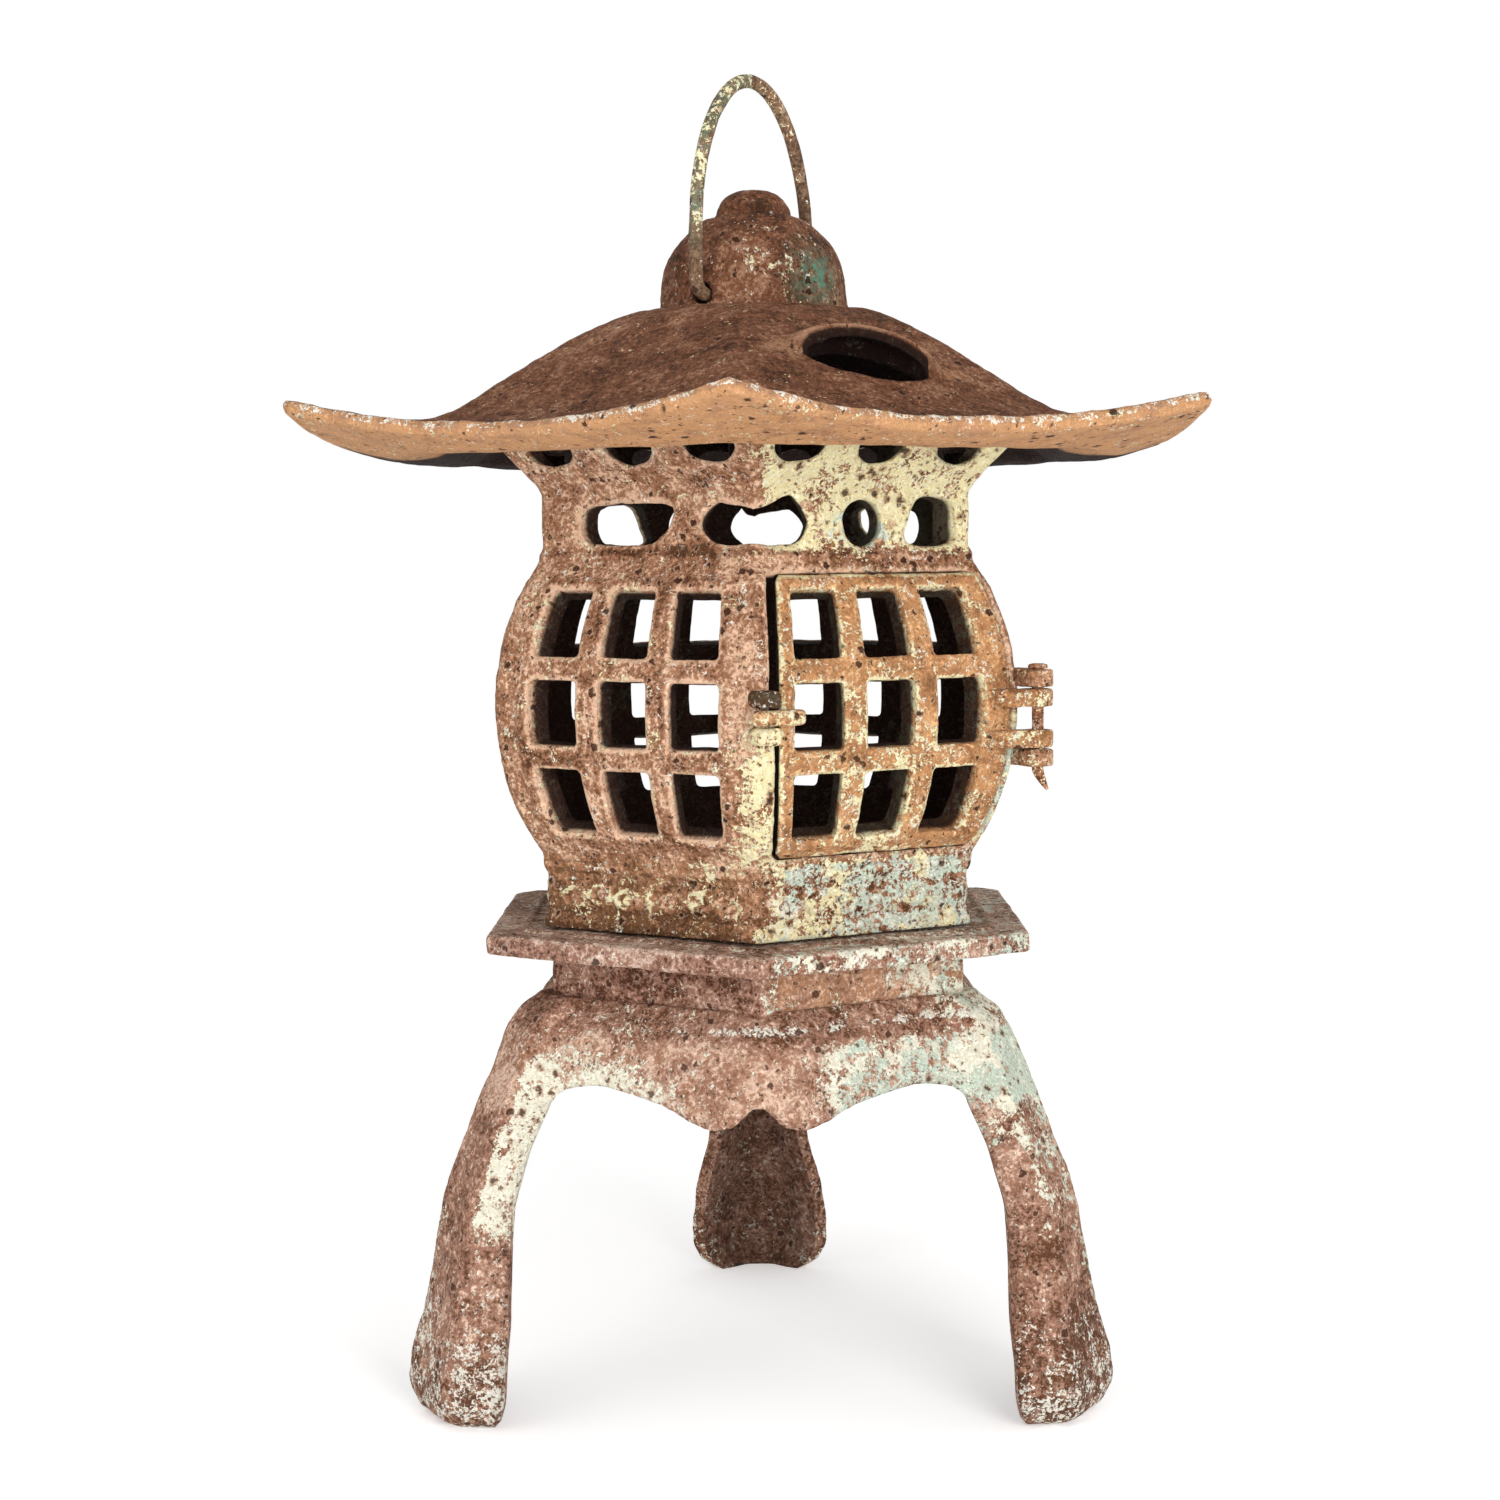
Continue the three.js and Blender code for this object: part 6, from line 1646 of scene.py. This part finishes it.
class LanternRoof(bpy.types.Operator):
    """Builds the roof with its vents, dome, seat rim and screw bosses"""
    bl_idname = "lantern.roof"
    bl_label = "Roof"

    def execute(self, context):
        c = context.scene.lantern_colours
        shares = np.concatenate([np.linspace(0, LIP_SHARE, 42),
                                 np.linspace(LIP_SHARE + 0.0016, 0.975, 50, endpoint=False),
                                 np.linspace(0.975, 1, 7)])

        def relief(turn, share, points, margin):
            chipped = 0.25 * rough(points, 4, 3, 103) * (1 - ease(from_lip(share), 1, 5))
            flaky = 0.45 * rough(points, 4.5, 3, 109) * ease(share, 0.62, 0.8)
            return (chipped + flaky + 0.5 * rough(points, 18, 3, 101)
                    + 0.25 * rough(points, 3.2, 2, 102) - 0.3 * pits(points, 7, 1.8, 0.35, 104)
                    - 0.35 * pits(points, 4.4, 2.3, 0.8, 110) * (1 - ease(share, 0.62, 0.8)))

        def finish(turn, share, points, margin, lift):
            patchy = 0.6 * rough(points, 30, 4, 105) + 0.4 * rough(points, 9, 3, 108)
            # At the lip of the eaves the finish is lighter, warmer and flecked white: pale tan rust
            # with a painted highlight along the edge.
            lip = 1 - ease(from_lip(share), 0.8, 3.0)
            outer = ease(share + 0.06 * patchy, 0.66, 0.86) * (1 - lip)
            worn = bump_at(margin, 0.0, 1.2) * (share <= LIP_SHARE)
            rim = bump_at(margin, 2.6, 2.2) * (share <= LIP_SHARE)
            return {"coat": -0.03 + 0.1 * patchy + 0.14 * lip, "hue": 0.1 * outer,
                    "tone": (0.50 + 0.24 * patchy - 0.32 * outer + 0.6 * lip + 0.3 * worn
                             + 0.22 * rim),
                    "warm": 0.12 * (1 - outer) + 0.8 * lip + 0.25 * rim,
                    "speck": -0.25 + 0.85 * lip + 0.32 * outer,
                    "verdi": 0.16 * outer * ease(patchy, -0.1, 0.4)}

        panels = cast_wall("roof_panels", np.arange(0, 6, 1 / 84)[::-1], shares, roof_surface(True),
                           roof_surface(False), finish, scale=75.0, clearance=roof_clearance,
                           relief=relief, inner_relief=lambda p: -0.4 * rough(p, 12, 3, 106))
        tint_underside(panels[0])
        material = shared_material("roof rusted iron", dark=linear(48, 24, 14), mid=c.roof_dark,
                                   light=linear(166, 124, 98), pit_share=0.25)
        dress(panels, material, "frame", "roof_iron", "roof")

        outer, inner = dome_outline()
        surface = swept(outer, circle)

        def hole_clearance(turn, t):
            p = surface(turn, t)
            axis = polar(1.0, BAIL_BEARING)
            off = p[..., 0] * axis[1] - p[..., 1] * axis[0]
            return np.hypot(off, p[..., 2] - BAIL_AXIS) - BAIL_HOLE

        def dome_relief(turn, t, points, margin):
            fade = ease(np.hypot(points[..., 0], points[..., 1]), 1, 6) * ease(margin, -1, 5)
            return fade * (0.45 * rough(points, 11, 3, 111) + 0.3 * rough(points, 2.8, 2, 112)
                           - 0.4 * pits(points, 6, 1.6, 0.4, 113))

        def dome_finish(turn, t, points, margin, lift):
            bearing, z = bearing_of(points), points[..., 2]
            mottled = rough(points, 12, 3, 115)
            patch = bump_at(bearing, 44, 17) * bump_at(z, 329, 7)
            pale = bump_at(bearing, 12, 26) * bump_at(z, 335, 9)
            return {"coat": 0.16 * mottled + 0.2 * pale + 0.12 * patch, "hue": 0.2 * pale,
                    "tone": 0.44 + 0.3 * mottled, "warm": 0.1, "speck": -0.14 + 0.35 * pale,
                    "verdi": patch}

        dome = cast_wall("roof_dome", np.arange(0, 6, 1 / 26)[::-1], np.linspace(0, 1, 66), surface,
                         swept(inner, circle), dome_finish, scale=28.0, clearance=hole_clearance,
                         relief=dome_relief)
        dress(dome, material, "frame", "roof_iron", "roof")

        def ring(reach):
            def at(turn, share):
                plan = rounded(hexagon, turn, 0.015) * reach
                roof = underside_height(np.hypot(plan[..., 0], plan[..., 1]), bearing_of(plan)) + 1.2
                z = ROOF_SEAT + share * (roof - ROOF_SEAT)
                return at_height(plan, z)
            return at

        def rim_finish(turn, share, points, margin, lift):
            return plain_finish(tone=0.3, warm=0.5)(points)

        pieces = cast_wall("roof_seat_rim", np.arange(0, 6, 1 / 30), np.linspace(0, 1, 6),
                           ring(CORNICE_RADIUS), ring(CORNICE_RADIUS - SEAT_RIM / CORNER_30),
                           rim_finish)
        for number, bearing in enumerate(LEG_BEARINGS):
            outline = polar(BOSS_CIRCLE, bearing) + polar(BOSS_RADIUS, np.arange(0, 360, 45))
            pieces.append(lug(f"boss_{number}", outline, ROOF_SEAT, ROOF_SEAT + BOSS_HEIGHT, 121,
                              plain_finish(soot=0.9), 0.6))
        dress(join("roof_seat", pieces), material, "frame", "roof_iron", "roof")
        return {"FINISHED"}


def tint_underside(piece):
    """Fields of the roof's underside: bright warm tan towards the lip at the front, tan rust that
    stands partly for painted light; dark towards the middle, soot and painted shade; dark at the
    rear, painted shadow. Points count as underside where the soot field is set."""
    mesh = piece.data
    count = len(mesh.vertices)

    def values_of(items, key, width=1):
        values = np.empty(count * width, np.float32)
        items.foreach_get(key, values)
        return values

    points = values_of(mesh.vertices, "co", 3).reshape(-1, 3) / MM
    under = values_of(mesh.attributes["soot"].data, "value") > 0.5
    reach = np.hypot(points[:, 0], points[:, 1])
    bearing = bearing_of(points)
    outer = ease(hexagon_reach(reach, bearing), 92, 103)
    front = 1 - ease(np.abs(bearing), 70, 92)
    patchy = rough(points.astype(float), 14, 4, 107)
    # Front: light and warm, partly painted light. Rear: darkened by the soot field as painted
    # shadow. Middle: soot and painted shade.
    new = {"soot": 1 - outer * (0.36 + 0.64 * front), "warm": 1.5 * outer * front,
           "tone": (0.30 + 0.62 * front) * outer + 0.14 * patchy,
           "coat": 0.05 + 0.1 * patchy, "hue": -0.4, "speck": -0.05 * outer}
    for field, values in all_fields(new, under.shape).items():
        layer = mesh.attributes[field].data
        kept = values_of(layer, "value")
        layer.foreach_set("value", np.where(under, values, kept).astype(np.float32))


# Bail, cup and fasteners

def bail_path():
    """Half path of the wire mirrored: from its end inside the dome, straight out through the
    hole, round the knee, up the side, and over by a quarter of an ellipse."""
    half, shoulder = BAIL_HALF_WIDTH, BAIL_SHOULDER
    side = [(BAIL_END, 0), (23, 0), (half - 5, 0), (half - 1.5, 1.5), (half - 0.2, 5), (half, 11),
            (half, shoulder)]
    arch = [(half * math.cos(a), shoulder + (BAIL_RISE - shoulder) * math.sin(a))
            for a in np.radians((15, 30, 45, 60, 75))]
    right = side + arch
    points = np.array(right + [(0, BAIL_RISE)] + [(-x, z) for x, z in reversed(right)])
    out, up = open_curve(points, 9).T
    a = math.radians(BAIL_BEARING)
    return np.stack([out * math.sin(a), -out * math.cos(a), BAIL_AXIS + up], -1)


class LanternBail(bpy.types.Operator):
    """Builds the wire bail"""
    bl_idname = "lantern.bail"
    bl_label = "Bail"

    def execute(self, context):
        path = bail_path()
        radii = np.full(len(path), BAIL_WIRE)
        path = np.vstack([path[:1], path, path[-1:]])
        radii = np.concatenate([[0.0], radii, [0.0]])
        path[0] -= (path[2] - path[1]) * 0.05
        path[-1] += (path[-2] - path[-3]) * 0.05

        def finish(p):
            z, x = p[..., 2], p[..., 0]
            mottled = rough(p, 9, 3, 131)
            green = ease(z, 330, 350) * (x < 0)
            return {"coat": 0.04 + 0.22 * mottled + 0.30 * green, "hue": 0.1 + 0.2 * mottled,
                    "tone": 0.35 + 0.15 * mottled, "warm": 0.1, "speck": -0.1 + 0.1 * green,
                    "verdi": 0.35 * green}

        wire = tube("bail_wire_round", path, radii, 26, 133, 0.18, finish)
        material = shared_material("bail rusted wire", dark=linear(70, 50, 40),
                                   mid=linear(122, 96, 76), light=linear(168, 146, 116),
                                   roughness=0.75, bump=0.6)
        dress(wire, material, "bail", "bail_wire", "bail")
        return {"FINISHED"}


class LanternCandleCup(bpy.types.Operator):
    """Builds the candle cup"""
    bl_idname = "lantern.candle_cup"
    bl_label = "Candle cup"

    def execute(self, context):
        low = PLATE_TOP + SEAT_GAP
        profile = [(2.75, low), (12, low), (23.2, low), (24.0, low + 0.8), (25.5, low + 6.5),
                   (26.8, low + 12.3), (26.6, low + 12.9), (25.6, low + 13.0), (24.7, low + 12.6),
                   (23.2, low + 7.5), (21.8, low + 4.8), (20.8, low + 4), (12, low + 4),
                   (5.3, low + 4), (5.2, low + 3.8), (5.2, low + 1), (2.75, low + 1)]
        shape = context.scene.lantern_shape
        turn, share = np.meshgrid(np.arange(0, 6, 1 / 16), np.linspace(0, 1, 70), indexing="ij")
        points = swept(profile, circle)(turn, share)
        points = weathered(points, grid_normals(points, True), shape, 141, 0.35)
        points[..., 2] = np.maximum(points[..., 2], low)
        cup = closed_grid("candle_cup_cast", points,
                          plain_finish(coat=0.05, tone=0.15, soot=0.35), wrap_second=True)
        material = shared_material("cup sooty iron", dark=linear(50, 36, 30),
                                   mid=linear(86, 66, 54), light=linear(122, 98, 82), bump=0.6)
        dress(cup, material, "frame", "cup_iron", "candle_cup")
        return {"FINISHED"}


class LanternFasteners(bpy.types.Operator):
    """Gives the screws and nuts, which keep their CAD shape, their rusted steel"""
    bl_idname = "lantern.fasteners"
    bl_label = "Fasteners"

    def execute(self, context):
        material = shared_material("fastener rusted steel", dark=linear(44, 34, 30),
                                   mid=linear(84, 64, 54), light=linear(118, 96, 82),
                                   painted=False, roughness=0.7, bump=0.4)
        for name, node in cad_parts.items():
            if "screw" in name or "nut" in name:
                node.data.materials.clear()
                node.data.materials.append(material)
        return {"FINISHED"}


# Studio

def area_light(name, place, target, size, power):
    """Square area light at a place, turned to a target."""
    light = bpy.data.lights.new(name, "AREA")
    light.size, light.energy = size, power
    lamp = bpy.data.objects.new(name, light)
    bpy.context.scene.collection.objects.link(lamp)
    lamp.location = place
    lamp.rotation_euler = (Vector(target) - Vector(place)).to_track_quat("-Z", "Y").to_euler()


class LanternStage(bpy.types.Operator):
    """Sets the camera, the lights, the white surroundings and the floor"""
    bl_idname = "lantern.stage"
    bl_label = "Studio"

    def execute(self, context):
        scene, studio = context.scene, context.scene.lantern_studio
        camera_data = bpy.data.cameras.new("camera")
        camera_data.sensor_width = 36.0
        camera_data.lens = studio.lens
        camera_data.clip_end = 50.0
        camera = bpy.data.objects.new("camera", camera_data)
        scene.collection.objects.link(camera)
        camera.matrix_world = (Matrix.Translation((0.0, -studio.distance, studio.height))
                               @ Matrix.Rotation(studio.heading, 4, "Z")
                               @ Matrix.Rotation(math.pi / 2 - studio.pitch, 4, "X")
                               @ Matrix.Rotation(-studio.roll, 4, "Z"))
        scene.camera = camera

        area_light("key light", (0.55, -1.2, 0.5), (0.0, 0.0, 0.19), 0.6, studio.key_power)
        area_light("fill light", (-1.0, -0.8, 0.35), (0.0, 0.0, 0.2), 0.8, studio.fill_power)
        area_light("low light", (0.1, -1.2, 0.06), (0.0, 0.0, 0.28), 0.6, studio.fill_power)

        world = bpy.data.worlds.new("white surroundings")
        scene.world = world
        tree = bare_tree(world)
        path = put(tree, "LightPath")
        seen = calc(tree, "MAXIMUM", path.outputs["Is Camera Ray"], calc(
            tree, "MAXIMUM", path.outputs["Is Glossy Ray"], path.outputs["Is Transmission Ray"]))
        strength = put(tree, "Mix", {0: seen, 2: studio.sky, 3: 1.0},
                       data_type="FLOAT").outputs[0]
        background = put(tree, "Background", {"Color": (1.0, 1.0, 1.0, 1.0),
                                                        "Strength": strength})
        put(tree, "OutputWorld", {"Surface": background.outputs[0]})

        reach = 6000.0
        corners = np.array([[-reach, -reach, 0], [reach, -reach, 0], [reach, reach, 0],
                            [-reach, reach, 0]])
        floor = new_piece("floor", corners, np.array([[0, 1, 2, 3]]))
        material = bpy.data.materials.new("pale floor")
        tree = bare_tree(material)
        grain = noise(tree, put(tree, "TexCoord").outputs["Object"], 3.0).outputs[0]
        pale = blend(tree, grain, (0.95, 0.95, 0.95, 1.0), (0.97, 0.97, 0.97, 1.0))
        surface = put(tree, "BsdfPrincipled", {
            "Base Color": pale, "Roughness": 0.9, "Specular IOR Level": 0.1,
            "Emission Color": (1.0, 1.0, 1.0, 1.0), "Emission Strength": 0.3})
        put(tree, "OutputMaterial", {"Surface": surface.outputs[0]})
        floor.data.materials.append(material)
        scene.view_settings.view_transform = "Standard"
        return {"FINISHED"}


class LanternPanel(bpy.types.Panel):
    """Sidebar panel with the lantern's pieces"""
    bl_idname = "VIEW3D_PT_lantern"
    bl_label = "Pagoda Lantern"
    bl_space_type = "VIEW_3D"
    bl_region_type = "UI"
    bl_category = "Lantern"

    def draw(self, context):
        for group in (context.scene.lantern_shape, context.scene.lantern_colours,
                      context.scene.lantern_studio):
            box = self.layout.box()
            for key in group.__annotations__:
                box.prop(group, key)
        for operator in OPERATORS:
            self.layout.operator(operator.bl_idname)


OPERATORS = (LanternStage, LanternStand, LanternPlate, LanternFirebox, LanternDoor, LanternHingePin,
             LanternRoof, LanternBail, LanternCandleCup, LanternFasteners)
CLASSES = (LanternShape, LanternColours, LanternStudio) + OPERATORS + (LanternPanel,)


def register():
    for cls in CLASSES:
        bpy.utils.register_class(cls)
    bpy.types.Scene.lantern_shape = bpy.props.PointerProperty(type=LanternShape)
    bpy.types.Scene.lantern_colours = bpy.props.PointerProperty(type=LanternColours)
    bpy.types.Scene.lantern_studio = bpy.props.PointerProperty(type=LanternStudio)


def unregister():
    del bpy.types.Scene.lantern_studio
    del bpy.types.Scene.lantern_colours
    del bpy.types.Scene.lantern_shape
    for cls in reversed(CLASSES):
        bpy.utils.unregister_class(cls)


def main():
    register()
    bpy.ops.lantern.stage()
    bpy.ops.lantern.stand()
    bpy.ops.lantern.plate()
    bpy.ops.lantern.firebox()
    bpy.ops.lantern.door()
    bpy.ops.lantern.hinge_pin()
    bpy.ops.lantern.roof()
    bpy.ops.lantern.bail()
    bpy.ops.lantern.candle_cup()
    bpy.ops.lantern.fasteners()


if __name__ == "__main__":
    main()
